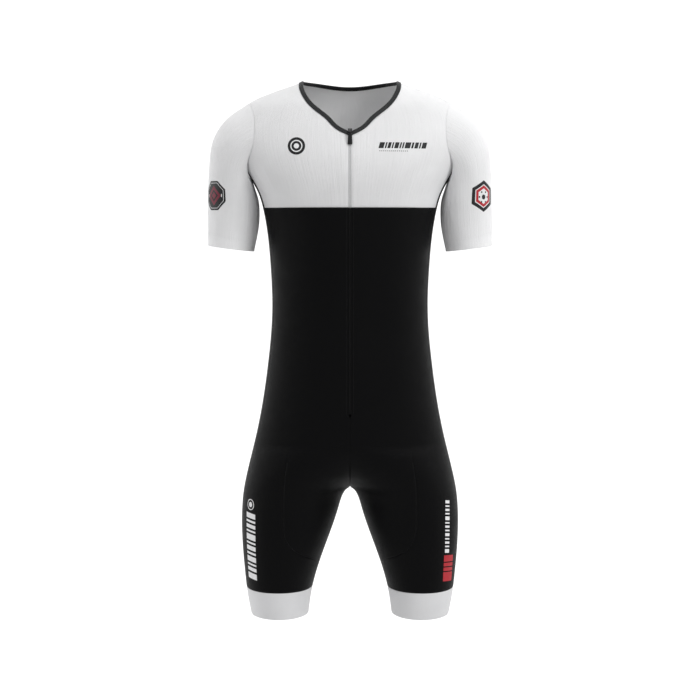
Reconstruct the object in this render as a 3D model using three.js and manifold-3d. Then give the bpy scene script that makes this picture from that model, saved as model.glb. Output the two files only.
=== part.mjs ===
// A short-sleeved triathlon suit as it is worn, hollow and open at neck, sleeves and legs.
// Millimetres, +Z up. The front faces -Y and the wearer's left side is +X.
// The origin is the middle of the shoulders, at the height where they carry the suit.

import * as THREE from 'three';
import Module from 'manifold-3d';

const wasm = await Module();
wasm.setup();

// Cloth and seams
const CLOTH = 1.6;
const BAND_CLOTH = 2.2;
const SEAM_GAP = 0.3;

// Heights that the pieces meet at
const SHOULDER_Z = 26.4;
const BACK_NECK_Z = 19.4;
const TIP_Z = -8;
const NECK_POINT_Z = -68.5;
const ARM_JOIN_Z = -120.5;
const ARM_PIT_Z = -141.3;
const COLOUR_LINE_Z = -190;
const ZIP_END_Z = -541;
const FORK_Z = -680.4;
const FORK_RISE = 85;
const HIP_Z = FORK_Z + FORK_RISE;
const THIGH_SEAM_TURN_Z = -748.9;
const THIGH_SEAM_END_Z = -811.2;
const BAND_Z = -855.5;
const HEM_Z = -903;

// Distances across
const FORK_WEB = 15;
const FORK_START = 0.25;
const SIDE_INSET = 4;
const ARMPIT_GAP = 4;
const ZIP_HALF = 2.7;
const ZIP_EDGE = ZIP_HALF + SEAM_GAP / 2;
const ZIP_TOP_Z = -60.5;
const ZIP_RUN_OUT = 5;

// Level sections of half the suit: the side's distance from the middle, the inner side of the
// leg's own oval, the front, middle and back depth, and how square the oval is.
const SECTIONS = table(['z', 'outer', 'inner', 'front', 'mid', 'back', 'square'], [
  [42, 58, 0, -20, 14, 60, 2.1],
  [26.4, 86.8, 0, -40, 12, 74, 2.1],
  [10.9, 130.2, 0, -51, 12, 88, 2.15],
  [-8, 173.7, 0, -64, 12, 101, 2.2],
  [-34, 198.1, 0, -76, 11, 112, 2.25],
  [-63.4, 201.6, 0, -89, 9, 120, 2.3],
  [-98, 194.8, 0, -103, 8, 125, 2.3],
  [-120.5, 184.5, 0, -109, 8, 126, 2.3],
  [-141.3, 171.4, 0, -112, 7, 125, 2.3],
  [-169, 157.2, 0, -113, 6, 121, 2.3],
  [-190, 151.2, 0, -112, 6, 118, 2.3],
  [-245.5, 142, 0, -107, 3, 106, 2.3],
  [-297.6, 137.7, 0, -101, 0, 93, 2.3],
  [-349.8, 135.5, 0, -97, -3, 84, 2.3],
  [-402.3, 137.3, 0, -96, -2, 85, 2.3],
  [-455.1, 142.7, 0, -97, 0, 93, 2.3],
  [-525.9, 152.8, 0, -96, 4, 110, 2.25],
  [-597.1, 167.4, 0, -92, 8, 122, 2.2],
  [-650.4, 180.8, 0, -86, 8, 120, 2.15],
  [-680.4, 187.3, 15, -80, 8, 112, 2.1],
  [-718.1, 191, 25.8, -74, 8, 100, 2.1],
  [-775.4, 190.6, 43.4, -70, 8, 88, 2.1],
  [-832.7, 186, 62.1, -66, 8, 76, 2.1],
  [-861.5, 182.8, 69, -64, 8, 72, 2.1],
  [-903, 175.5, 75, -60, 8, 66, 2.05],
]);

// Front neckline: the cloth's edge, from the zip up to the shoulder seam
const NECKLINE = table(['z', 'x'], [
  [NECK_POINT_Z, ZIP_EDGE],
  [-61.3, 18],
  [-42, 39.2],
  [-23.1, 62.2],
  [-11.9, 73],
  [2.8, 82],
  [17.2, 86.6],
  [SHOULDER_Z, 86.8],
]);

// Armhole: how far out its edge lies on the front and the back, between shoulder and side panel
const ARMHOLE = table(['z', 'front', 'back'], [
  [TIP_Z, 173.7, 173.7],
  [-26, 166.4, 170.5],
  [-58, 163.4, 167.5],
  [-92, 167.3, 171],
  [ARM_JOIN_Z, 180.5, 180.5],
]);

// Curved seam of the thigh panel, from the hip round to the inside of the leg
const THIGH_SEAM = table(['z', 'x'], [
  [HIP_Z, 103.4],
  [-620.9, 107.1],
  [-673.1, 114.2],
  [-717.2, 115.3],
  [-748.9, 113.8],
  [-766.6, 107],
  [-781.1, 95],
  [-791.7, 78],
  [-799.1, 64.5],
  [-803.5, 57.8],
  [-807.5, 54.4],
  [THIGH_SEAM_END_Z, 53],
]);

// Sleeve rings: the point on the ridge, the point under the arm, the half depth and its middle
const SLEEVE_RINGS = [
  { ridgeX: 215.1, ridgeZ: -37.8, pitX: 165.2, pitZ: -158.7, depth: 61, mid: 5 },
  { ridgeX: 237.9, ridgeZ: -74, pitX: 160.6, pitZ: -171, depth: 58, mid: 5 },
  { ridgeX: 245.2, ridgeZ: -127.5, pitX: 157.8, pitZ: -188, depth: 55, mid: 5 },
  { ridgeX: 247.3, ridgeZ: -189.9, pitX: 158.6, pitZ: -220, depth: 52, mid: 5 },
  { ridgeX: 247.7, ridgeZ: -255.1, pitX: 167.2, pitZ: -265.2, depth: 50, mid: 5 },
];

// How many cells each stretch is cut into
const INNER_CELLS = 5;
const OUTER_CELLS = 5;
const SIDE_CELLS = 4;
const BACK_CELLS = 7;
const KNEE_CELLS = 6;
const TORSO_ROWS = 12;
const SLEEVE_ROWS = 8;
const ARMPIT_GAP_ROWS = 5;
const FORK_STEPS = 7;

// Zip slider and pull tab
const PIN_Z = -66.4;
const PIN_OUT = 5.6;
const PIN_RADIUS = 0.8;
const TAB_LEAN = THREE.MathUtils.degToRad(11);

// Turns rows of numbers into one smooth function of z for each named column.
function table(names, rows) {
  const sorted = [...rows].sort((a, b) => a[0] - b[0]);
  const heights = sorted.map((row) => row[0]);
  return Object.fromEntries(names.slice(1).map((name, i) => [
    name,
    smoothRun(heights, sorted.map((row) => row[i + 1])),
  ]));
}

// A natural cubic spline through the given points.
function smoothRun(xs, ys) {
  const last = xs.length - 1;
  const bend = new Array(last + 1).fill(0);
  const share = new Array(last + 1).fill(0);
  for (let i = 1; i < last; i += 1) {
    const width = xs[i + 1] - xs[i - 1];
    const weight = (xs[i] - xs[i - 1]) / width;
    const pivot = weight * bend[i - 1] + 2;
    const kink = (ys[i + 1] - ys[i]) / (xs[i + 1] - xs[i]) - (ys[i] - ys[i - 1]) / (xs[i] - xs[i - 1]);
    bend[i] = (weight - 1) / pivot;
    share[i] = ((6 * kink) / width - weight * share[i - 1]) / pivot;
  }
  for (let i = last - 1; i > 0; i -= 1) share[i] += bend[i] * share[i + 1];
  return (x) => {
    let i = 1;
    while (i < last && x > xs[i]) i += 1;
    const h = xs[i] - xs[i - 1];
    const a = (xs[i] - x) / h;
    const b = 1 - a;
    const curl = ((a ** 3 - a) * share[i - 1] + (b ** 3 - b) * share[i]) * h * h;
    return a * ys[i - 1] + b * ys[i] + curl / 6;
  };
}

// The level section of the left half at height z. Above the fork the two legs' ovals merge.
function section(z) {
  const rise = THREE.MathUtils.clamp((z - FORK_Z) / FORK_RISE, 0, 1);
  const web = FORK_WEB * (1 - rise ** 2) ** 2;
  const square = SECTIONS.square(z);
  const mid = SECTIONS.mid(z);
  const shape = { web, square, mid, front: SECTIONS.front(z), back: SECTIONS.back(z) };
  if (z > FORK_Z) {
    const closing = 1 - (1 - FORK_START) * (1 - rise) ** 6;
    const closed = Math.sqrt((1 - (1 - rise) ** 2) * closing);
    const overlap = (1 - closed ** square) ** (1 / square);
    shape.half = (SECTIONS.outer(z) - web) / (1 + overlap);
    shape.centre = SECTIONS.outer(z) - shape.half;
    shape.start = Math.acos(overlap ** (square / 2));
  } else {
    shape.half = (SECTIONS.outer(z) - SECTIONS.inner(z)) / 2;
    shape.centre = (SECTIONS.outer(z) + SECTIONS.inner(z)) / 2;
    shape.start = 0;
  }
  return shape;
}

const signedPower = (value, power) => Math.sign(value) * Math.abs(value) ** power;

// A point of the suit's outside: u runs from the front middle (0) by the side (0.5) to the back (1).
function surface(u, z) {
  const s = section(z);
  const angle = s.start + u * 2 * (Math.PI - s.start);
  const x = s.centre - s.half * signedPower(Math.cos(angle), 2 / s.square);
  const reach = Math.sin(angle) > 0 ? s.mid - s.front : s.back - s.mid;
  const y = s.mid - reach * signedPower(Math.sin(angle), 2 / s.square);
  return new THREE.Vector3(Math.sqrt(Math.max(0, x * x - s.web * s.web)), y, z);
}

// The u of the point at distance x from the middle, on the front or on the back.
function across(x, z, behind = false) {
  const s = section(z);
  const cosine = THREE.MathUtils.clamp((s.centre - Math.hypot(x, s.web)) / s.half, -1, 1);
  const angle = Math.acos(signedPower(cosine, s.square / 2));
  const onFront = (angle - s.start) / (2 * (Math.PI - s.start));
  return behind ? 1 - onFront : onFront;
}

// Seam lines, each as the u that it has at height z
const sideX = (z) => surface(0.5, z).x - SIDE_INSET;
const sideFront = (z) => across(sideX(z), z);
const sideBack = (z) => across(sideX(z), z, true);
const thighSeam = (z) => (z > THIGH_SEAM_END_Z ? across(THIGH_SEAM.x(z), z) : 0);

function centreFront(z) {
  if (z > NECK_POINT_Z) return across(NECKLINE.x(z), z);
  const run = THREE.MathUtils.clamp((z - ZIP_END_Z) / ZIP_RUN_OUT + 1, 0, 1);
  return z > HIP_Z ? across(ZIP_EDGE * run, z) : 0;
}

function backNeckX(z) {
  const share = THREE.MathUtils.clamp((z - BACK_NECK_Z) / (SHOULDER_Z - BACK_NECK_Z), 0, 1);
  return (surface(0.5, SHOULDER_Z).x * Math.asin(Math.sqrt(share))) / (Math.PI / 2);
}

const centreBack = (z) => (z > BACK_NECK_Z ? across(backNeckX(z), z, true) : 1);

function yokeSide(z, behind) {
  if (z >= TIP_Z) return 0.5;
  if (z > ARM_JOIN_Z) return across(behind ? ARMHOLE.back(z) : ARMHOLE.front(z), z, behind);
  return behind ? sideBack(z) : sideFront(z);
}

// Rows from the top down
const evenly = (from, to, count) =>
  Array.from({ length: count }, (_, i) => from + ((to - from) * (i + 1)) / count);
const NECK_ROWS = [SHOULDER_Z, 25.1, 23.2, 21.2, BACK_NECK_Z, 10, 1, TIP_Z];
const ARM_ROWS = [-10, -14, -21, -31, -43, -55, NECK_POINT_Z, -84, -97, -107, -115, ARM_JOIN_Z];
const SIDE_TOP_ROWS = [-136, -152, -170, COLOUR_LINE_Z];
const YOKE_ROWS = [...NECK_ROWS, ...ARM_ROWS, ...SIDE_TOP_ROWS];
const TORSO = [
  COLOUR_LINE_Z,
  ...evenly(COLOUR_LINE_Z, ZIP_END_Z, TORSO_ROWS - 2),
  ZIP_END_Z - ZIP_RUN_OUT,
  (ZIP_END_Z + HIP_Z) / 2 - ZIP_RUN_OUT,
  HIP_Z,
];
const FORK = Array.from({ length: FORK_STEPS + 1 }, (_, i) =>
  FORK_Z + FORK_RISE * (1 - Math.cos((Math.PI / 2) * (1 - i / FORK_STEPS))));
const LEG_ROWS = [
  -685, -694, -708, -727, THIGH_SEAM_TURN_Z, -766.6, -781, -791.7, -799.1, -803.5, -807.5, THIGH_SEAM_END_Z,
];
const THIGH = [...FORK, ...LEG_ROWS, (THIGH_SEAM_END_Z + BAND_Z) / 2, BAND_Z];
const CROTCH_FRONT = [...FORK, ...LEG_ROWS];
const BAND = [BAND_Z, (BAND_Z + HEM_Z) / 2, HEM_Z];

// Column shares of the front panel, with one line kept at the top of the thigh seam
const seamShare = (thighSeam(HIP_Z) - centreFront(HIP_Z)) / (sideFront(HIP_Z) - centreFront(HIP_Z));
const FRONT_SHARES = [
  0,
  ...evenly(0, seamShare, INNER_CELLS),
  ...evenly(seamShare, 1, OUTER_CELLS),
];
const equalShares = (count) => [0, ...evenly(0, 1, count)];
const backShares = equalShares(BACK_CELLS);

// Welds equal points, so that rows may close to one point and halves may share their middle line.
class Sheet {
  constructor() {
    this.points = [];
    this.faces = [];
    this.places = new Map();
  }

  add(point) {
    const key = placeOf(point);
    if (!this.places.has(key)) {
      this.places.set(key, this.points.length);
      this.points.push(point.clone());
    }
    return this.places.get(key);
  }

  face(corners) {
    const ring = corners.map((point) => this.add(point)).filter((c, i, all) => c !== all.at(i - 1));
    if (ring.length > 2) this.faces.push(ring);
  }

  // Rows run downwards and their columns run from the front by the side to the back.
  rows(rows) {
    for (let r = 1; r < rows.length; r += 1) {
      for (let c = 1; c < rows[r].length; c += 1) {
        this.face([rows[r][c - 1], rows[r][c], rows[r - 1][c], rows[r - 1][c - 1]]);
      }
    }
    return this;
  }

  mirrored() {
    const twin = new Sheet();
    for (const [first, ...rest] of this.faces) {
      twin.face([first, ...rest.reverse()].map((i) => mirrorPoint(this.points[i])));
    }
    return twin;
  }

  join(other) {
    for (const face of other.faces) this.face(face.map((i) => other.points[i]));
    return this;
  }
}

const mirrorPoint = (p) => new THREE.Vector3(-p.x, p.y, p.z);
const placeOf = (p) => [p.x, p.y, p.z].map((value) => Math.round(value * 1000)).join(' ');

// A panel between two seam lines, with one row of points at each height.
function panel(heights, from, to, shares) {
  return new Sheet().rows(heights.map((z) => {
    const [start, end] = [from(z), to(z)];
    return shares.map((share) => surface(start + (end - start) * share, z));
  }));
}

// Inside the thigh seam the columns keep their places and end at the seam where it turns in.
function crotchRow(z) {
  const seam = thighSeam(z);
  const widest = thighSeam(Math.max(z, THIGH_SEAM_TURN_Z));
  return equalShares(INNER_CELLS).map((share) => surface(Math.min(share * widest, seam), z));
}

// The thigh's columns start under those of the front and the side. Below the seam's turn more
// columns come out from under the seam, to reach round to the inside of the leg.
function thighColumns(z) {
  const [top, side, end] = [thighSeam(HIP_Z), sideFront(HIP_Z), sideBack(HIP_Z)];
  const seam = thighSeam(z);
  const widest = thighSeam(Math.max(z, THIGH_SEAM_TURN_Z));
  const sideShare = (side - top) / (end - top);
  const shares = [0, ...evenly(0, sideShare, OUTER_CELLS), ...evenly(sideShare, 1, SIDE_CELLS)];
  return [
    ...equalShares(KNEE_CELLS).slice(0, -1).map((share) => Math.max(seam, share * widest)),
    ...shares.map((share) => widest + (sideBack(z) - widest) * share),
  ];
}

// A row of the side panel. The top row dips to the pit of the arm, those below it less and less.
function sideRow(z) {
  const fadeEnd = SIDE_TOP_ROWS.at(-2);
  const fade = THREE.MathUtils.clamp((z - fadeEnd) / (ARM_JOIN_Z - fadeEnd), 0, 1);
  return equalShares(SIDE_CELLS).map((share) => {
    const low = z + (ARM_PIT_Z - ARM_JOIN_Z) * fade * (1 - (2 * share - 1) ** 2);
    return surface(sideFront(low) + (sideBack(low) - sideFront(low)) * share, low);
  });
}

// The armhole's edge, from the shoulder down the front, under the arm and up the back.
function armholeLoop() {
  const down = ARM_ROWS.map((z) => surface(yokeSide(z, false), z));
  const under = sideRow(ARM_JOIN_Z).slice(1, -1);
  const up = [...ARM_ROWS].reverse().map((z) => surface(yokeSide(z, true), z));
  return [surface(0.5, TIP_Z), ...down, ...under, ...up];
}

// The sleeve runs from the armhole's edge through the rings of the table to its hem.
function sleeve() {
  const loop = armholeLoop();
  const tip = surface(0.5, TIP_Z);
  const pit = surface(0.5, ARM_PIT_Z);
  const centre = tip.clone().add(pit).multiplyScalar(0.5);
  const spoke = tip.clone().sub(pit).multiplyScalar(0.5);
  const spread = Math.max(...loop.map((p) => Math.abs(p.y - centre.y)));
  const angles = loop.map((p) => {
    const along = p.clone().sub(centre).dot(spoke) / spoke.lengthSq();
    return Math.atan2((centre.y - p.y) / spread, along);
  });
  const runs = angles.map((angle, i) => new THREE.CatmullRomCurve3(
    [loop[i], ...SLEEVE_RINGS.map((ring) => ringPoint(ring, angle))], false, 'centripetal'));
  const rings = equalShares(SLEEVE_ROWS).map((t) => runs.map((run) => clearOfBody(run.getPoint(t), t)));
  const closed = rings.map((ring) => [...ring, ring[0]]);
  return new Sheet().rows(closed.reverse());
}

// Keeps the underside of the sleeve beside the body, a little further away with each ring.
function clearOfBody(point, t) {
  if (t === 0) return point;
  const s = section(point.z);
  const reach = point.y < s.mid ? s.mid - s.front : s.back - s.mid;
  const depth = Math.abs(point.y - s.mid) / reach;
  if (depth >= 1) return point;
  const side = s.centre + s.half * (1 - depth ** s.square) ** (1 / s.square);
  const least = side + ARMPIT_GAP * Math.min(1, (t * SLEEVE_ROWS) / ARMPIT_GAP_ROWS);
  return point.setX(Math.max(point.x, least));
}

function ringPoint(ring, angle) {
  const reach = Math.cos(angle) / 2;
  return new THREE.Vector3(
    (ring.ridgeX + ring.pitX) / 2 + (ring.ridgeX - ring.pitX) * reach,
    ring.mid - ring.depth * Math.sin(angle),
    (ring.ridgeZ + ring.pitZ) / 2 + (ring.ridgeZ - ring.pitZ) * reach,
  );
}

// The elastic band closes round the leg, in the columns of the thigh panel and the back.
function legBand() {
  const behind = (z) => backShares.slice(1).map((share) => sideBack(z) + (1 - sideBack(z)) * share);
  return new Sheet().rows(BAND.map((z) => [...thighColumns(z), ...behind(z)].map((u) => surface(u, z))));
}

// Left-hand panels
const LEFT_SHEETS = {
  front_yoke: panel(YOKE_ROWS, centreFront, (z) => yokeSide(z, false), FRONT_SHARES),
  front_body: panel(TORSO, centreFront, sideFront, FRONT_SHARES)
    .join(new Sheet().rows(CROTCH_FRONT.map(crotchRow))),
  side_panel: new Sheet().rows([ARM_JOIN_Z, ...SIDE_TOP_ROWS, ...TORSO.slice(1)].map(sideRow)),
  back_body: panel([...TORSO, ...THIGH.slice(1)], sideBack, () => 1, backShares),
  leg_front: new Sheet().rows(THIGH.map((z) => thighColumns(z).map((u) => surface(u, z)))),
  leg_band: legBand(),
  sleeve: sleeve(),
};
const BACK_YOKE = panel(YOKE_ROWS, (z) => yokeSide(z, true), centreBack, backShares);

// One outward direction at each point of the suit, shared by all the pieces that meet there
function outwardDirections(sheets) {
  const sums = new Map();
  for (const sheet of sheets) {
    for (const face of sheet.faces) {
      const [a, b, c, d = a] = face.map((i) => sheet.points[i]);
      const area = c.clone().sub(a).cross(d.clone().sub(b));
      for (const i of face) {
        const key = placeOf(sheet.points[i]);
        sums.set(key, (sums.get(key) ?? new THREE.Vector3()).add(area));
      }
    }
  }
  for (const sum of sums.values()) sum.normalize();
  return sums;
}

// Gives a sheet its thickness, drawn back by half the seam gap along its border. Two pieces that
// share a border split its faces along the same slant, so that their edges stay apart.
function wall(sheet, thickness, directions) {
  const edges = new Map();
  for (const face of sheet.faces) {
    face.forEach((from, i) => {
      const to = face[(i + 1) % face.length];
      edges.set(`${from} ${to}`, [from, to]);
    });
  }
  const border = [...edges.values()].filter(([from, to]) => !edges.has(`${to} ${from}`));
  const normals = sheet.points.map((point) => directions.get(placeOf(point)));
  const inwards = sheet.points.map(() => []);
  for (const [from, to] of border) {
    const edge = sheet.points[to].clone().sub(sheet.points[from]);
    for (const i of [from, to]) inwards[i].push(normals[i].clone().cross(edge).normalize());
  }
  const outer = sheet.points.map((point, i) => {
    if (!inwards[i].length) return point.clone();
    const sum = inwards[i].reduce((a, b) => a.clone().add(b));
    const length = Math.max(sum.lengthSq() / inwards[i].length, 1);
    return point.clone().addScaledVector(sum, SEAM_GAP / 2 / length);
  });
  const inner = outer.map((point, i) => point.clone().addScaledVector(normals[i], -thickness));
  const count = outer.length;
  const triangles = [];
  for (const face of sheet.faces) {
    for (let i = 2; i < face.length; i += 1) {
      triangles.push([face[0], face[i - 1], face[i]]);
      triangles.push([face[0] + count, face[i] + count, face[i - 1] + count]);
    }
  }
  for (const [from, to] of border) {
    const slant = sheet.points[from].z - sheet.points[to].z || sheet.points[from].y - sheet.points[to].y;
    if (slant > 0) triangles.push([to, from, from + count], [to, from + count, to + count]);
    else triangles.push([to, from, to + count], [from, from + count, to + count]);
  }
  return geometryOf([...outer, ...inner], triangles);
}

function geometryOf(points, triangles) {
  const geometry = new THREE.BufferGeometry();
  const places = points.flatMap((p) => p.toArray());
  geometry.setAttribute('position', new THREE.Float32BufferAttribute(places, 3));
  geometry.setIndex(triangles.flat());
  geometry.computeVertexNormals();
  return geometry;
}

// Joins the same outline at each station into one solid, closed by a cap at each end.
function loft(stations) {
  const size = stations[0].length;
  const triangles = [];
  for (let s = 1; s < stations.length; s += 1) {
    for (let i = 0; i < size; i += 1) {
      const [a, b] = [(s - 1) * size + i, (s - 1) * size + ((i + 1) % size)];
      triangles.push([a, b, b + size], [a, b + size, a + size]);
    }
  }
  const end = (stations.length - 1) * size;
  for (let i = 2; i < size; i += 1) {
    triangles.push([0, i, i - 1], [end, end + i - 1, end + i]);
  }
  return geometryOf(stations.flat(), triangles);
}

// The frame of the surface at a point: outwards, and the two directions that u and z run in.
function surfaceFrame(u, z) {
  const step = 0.002;
  const alongU = surface(u + step, z).sub(surface(u - step, z)).divideScalar(2 * step);
  const alongZ = surface(u, z + 1).sub(surface(u, z - 1)).divideScalar(2);
  return { alongU, alongZ, out: alongU.clone().cross(alongZ).normalize() };
}

// Walks a distance over the surface in the given direction.
function stepOver(u, z, direction, distance) {
  const { alongU, alongZ } = surfaceFrame(u, z);
  const [uu, uz, zz] = [alongU.dot(alongU), alongU.dot(alongZ), alongZ.dot(alongZ)];
  const [du, dz] = [alongU.dot(direction), alongZ.dot(direction)];
  const scale = distance / (uu * zz - uz * uz);
  return [u + (du * zz - dz * uz) * scale, z + (dz * uu - du * uz) * scale];
}

// Neck binding: a folded strip beyond the cloth's edge, open at the zip
const BINDING = { width: 7, proud: 1, sunk: 2.1, round: 0.8 };
const BINDING_OUTLINE = [
  { across: BINDING.width - BINDING.round, out: -BINDING.sunk },
  { across: BINDING.width, out: BINDING.round - BINDING.sunk },
  { across: BINDING.width, out: BINDING.proud - BINDING.round },
  { across: BINDING.width - BINDING.round, out: BINDING.proud },
  { across: SEAM_GAP + BINDING.round, out: BINDING.proud },
  { across: SEAM_GAP, out: BINDING.proud - BINDING.round / 2 },
  { across: SEAM_GAP, out: -BINDING.sunk },
];

function neckBinding() {
  const frontRows = YOKE_ROWS.filter((z) => z >= NECK_POINT_Z).reverse();
  const backRows = NECK_ROWS.filter((z) => z < SHOULDER_Z && z >= BACK_NECK_Z);
  const path = [...frontRows.map((z) => [centreFront(z), z]), ...backRows.map((z) => [centreBack(z), z])];
  const half = path.map(([u, z], i) => {
    const before = surface(...path[Math.max(i - 1, 0)]);
    const after = surface(...path[Math.min(i + 1, path.length - 1)]);
    const along = i === path.length - 1 ? new THREE.Vector3(-1, 0, 0) : after.sub(before).normalize();
    const { out } = surfaceFrame(u, z);
    const inwards = out.clone().cross(along).normalize();
    return BINDING_OUTLINE.map((corner) => {
      const [nextU, nextZ] = stepOver(u, z, inwards, corner.across);
      const point = surface(nextU, nextZ);
      const edge = ZIP_HALF + SEAM_GAP;
      if (nextU < 0.5 && (nextU < 0 || point.x < edge)) point.copy(surface(across(edge, nextZ), nextZ));
      if (i === path.length - 1) point.x = 0;
      return point.addScaledVector(out, corner.out);
    });
  });
  const twin = half.slice(0, -1).reverse().map((ring) => ring.map(mirrorPoint));
  return loft([...half, ...twin]);
}

// Zip: a flat strip down the front with a fine groove where its two rows of teeth meet
const ZIP = { crest: 0.7, proud: 0.2, groove: 0.4 };
const ZIP_OUTLINE = [
  { x: ZIP_HALF, out: -CLOTH },
  { x: ZIP_HALF, out: 0 },
  { x: ZIP.crest, out: ZIP.proud },
  { x: 0, out: -ZIP.groove },
  { x: -ZIP.crest, out: ZIP.proud },
  { x: -ZIP_HALF, out: 0 },
  { x: -ZIP_HALF, out: -CLOTH },
];

function zip() {
  const heights = [
    ZIP_TOP_Z,
    ...YOKE_ROWS.filter((z) => z <= NECK_POINT_Z && z > COLOUR_LINE_Z),
    ...TORSO.filter((z) => z >= ZIP_END_Z + 1),
    ZIP_END_Z + SEAM_GAP,
  ];
  return loft(heights.map((z) => {
    const middle = surface(across(0, z), z);
    const slope = (SECTIONS.front(z + 1) - SECTIONS.front(z - 1)) / 2;
    const out = new THREE.Vector3(0, -1, slope).normalize();
    return ZIP_OUTLINE.map(({ x, out: height }) => middle.clone().addScaledVector(out, height).setX(x));
  }));
}

// A closed mesh as a solid, to join small metal parts
function solid(geometry) {
  const position = geometry.getAttribute('position');
  const places = new Map();
  const points = [];
  const corners = [];
  const order = geometry.index ? [...geometry.index.array] : [...Array(position.count).keys()];
  for (const i of order) {
    const point = new THREE.Vector3().fromBufferAttribute(position, i);
    const key = placeOf(point);
    if (!places.has(key)) {
      places.set(key, points.length);
      points.push(point);
    }
    corners.push(places.get(key));
  }
  const kept = [];
  for (let i = 0; i < corners.length; i += 3) {
    const triangle = corners.slice(i, i + 3);
    if (new Set(triangle).size === 3) kept.push(...triangle);
  }
  return new wasm.Manifold(new wasm.Mesh({
    numProp: 3,
    vertProperties: new Float32Array(points.flatMap((p) => p.toArray())),
    triVerts: new Uint32Array(kept),
  }));
}

function meshOf(manifold) {
  const mesh = manifold.getMesh();
  const geometry = new THREE.BufferGeometry();
  geometry.setAttribute('position', new THREE.Float32BufferAttribute(mesh.vertProperties, 3));
  geometry.setIndex([...mesh.triVerts]);
  return geometry;
}

// A flat outline in x and z, given a thickness along y between two depths
function plate(shape, nearY, farY) {
  const geometry = new THREE.ExtrudeGeometry(
    shape, { depth: farY - nearY, bevelEnabled: false, curveSegments: 4 });
  geometry.rotateX(Math.PI / 2);
  geometry.translate(0, farY, 0);
  return geometry;
}

function roundedShape(halfTop, halfBottom, top, bottom, corner) {
  const shape = new THREE.Shape();
  shape.moveTo(-halfTop + corner, top);
  shape.quadraticCurveTo(-halfTop, top, -halfTop, top - corner);
  shape.lineTo(-halfBottom, bottom + corner);
  shape.quadraticCurveTo(-halfBottom, bottom, -halfBottom + corner, bottom);
  shape.lineTo(halfBottom - corner, bottom);
  shape.quadraticCurveTo(halfBottom, bottom, halfBottom, bottom + corner);
  shape.lineTo(halfTop, top - corner);
  shape.quadraticCurveTo(halfTop, top, halfTop - corner, top);
  return shape;
}

// The slider's own frame: y goes into the suit, z up along the chest, with the pin at the origin.
const SLIDER = { halfTop: 3.75, halfBottom: 2.75, top: 8, bottom: -1.6, corner: 1.2, face: 2.3, base: 4.2 };
const LUG = { inner: 1.5, outer: 2.4, low: -1.5, high: 1.7, front: -1.3, root: SLIDER.face + 0.4 };
const KEEL = { half: 1.2, low: 0, high: 7, depth: PIN_OUT - 0.6 };
const PIN_HALF = LUG.outer - 0.2;

const block = (x0, x1, y0, y1, z0, z1) => solid(
  new THREE.BoxGeometry(x1 - x0, y1 - y0, z1 - z0).translate((x0 + x1) / 2, (y0 + y1) / 2, (z0 + z1) / 2));

function slider() {
  const outline = roundedShape(
    SLIDER.halfTop, SLIDER.halfBottom, SLIDER.top, SLIDER.bottom, SLIDER.corner);
  const pin = new THREE.CylinderGeometry(PIN_RADIUS, PIN_RADIUS, 2 * PIN_HALF, 10).rotateZ(Math.PI / 2);
  const pieces = [
    solid(plate(outline, SLIDER.face, SLIDER.base)),
    block(-KEEL.half, KEEL.half, SLIDER.face, KEEL.depth, KEEL.low, KEEL.high),
    solid(pin),
    block(-LUG.outer, -LUG.inner, LUG.front, LUG.root, LUG.low, LUG.high),
    block(LUG.inner, LUG.outer, LUG.front, LUG.root, LUG.low, LUG.high),
  ];
  return meshOf(pieces.reduce((whole, piece) => whole.add(piece)));
}

// The pull tab: a flat blade, and a neck with the eye that turns on the slider's pin
const TAB = { halfTop: 3.2, halfBottom: 4, top: -2.6, bottom: -21, corner: 1.6, thickness: 1.8 };
const EYE = { radius: 1.1, rim: 0.75, root: -4.5 };

function pullTab() {
  const half = TAB.thickness / 2;
  const outline = roundedShape(TAB.halfTop, TAB.halfBottom, TAB.top, TAB.bottom, TAB.corner);
  const blade = solid(plate(outline, -half, half));
  const side = new THREE.Shape();
  side.moveTo(half, EYE.root);
  side.lineTo(-half, EYE.root);
  side.absarc(0, 0, EYE.radius + EYE.rim, Math.PI, 0, true);
  side.holes.push(new THREE.Path().absarc(0, 0, EYE.radius, 0, 2 * Math.PI, false));
  const width = 2 * (LUG.inner - SEAM_GAP);
  const neck = new THREE.ExtrudeGeometry(side, { depth: width, bevelEnabled: false, curveSegments: 8 });
  neck.rotateX(Math.PI / 2);
  neck.rotateZ(Math.PI / 2);
  neck.translate(-width / 2, 0, 0);
  return meshOf(blade.add(solid(neck)));
}

// Materials
const cloth = (color, roughness) => new THREE.MeshStandardMaterial({ color, roughness, metalness: 0 });
const WHITE_CLOTH = cloth(0xf2f3f5, 0.75);
const BLACK_CLOTH = cloth(0x0b0c0e, 0.6);
const BAND_WHITE = cloth(0xeceef0, 0.7);
const BINDING_DARK = cloth(0x2a2c30, 0.7);
const ZIP_DARK = cloth(0x1b1c1f, 0.5);
const METAL = new THREE.MeshStandardMaterial({ color: 0x17181a, roughness: 0.35, metalness: 0.8 });
const FINISH = {
  front_yoke: WHITE_CLOTH,
  front_body: BLACK_CLOTH,
  side_panel: BLACK_CLOTH,
  back_body: BLACK_CLOTH,
  leg_front: BLACK_CLOTH,
  leg_band: BAND_WHITE,
  sleeve: WHITE_CLOTH,
};

function named(name, geometry, material) {
  const mesh = new THREE.Mesh(geometry, material);
  mesh.name = name;
  return mesh;
}

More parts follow.
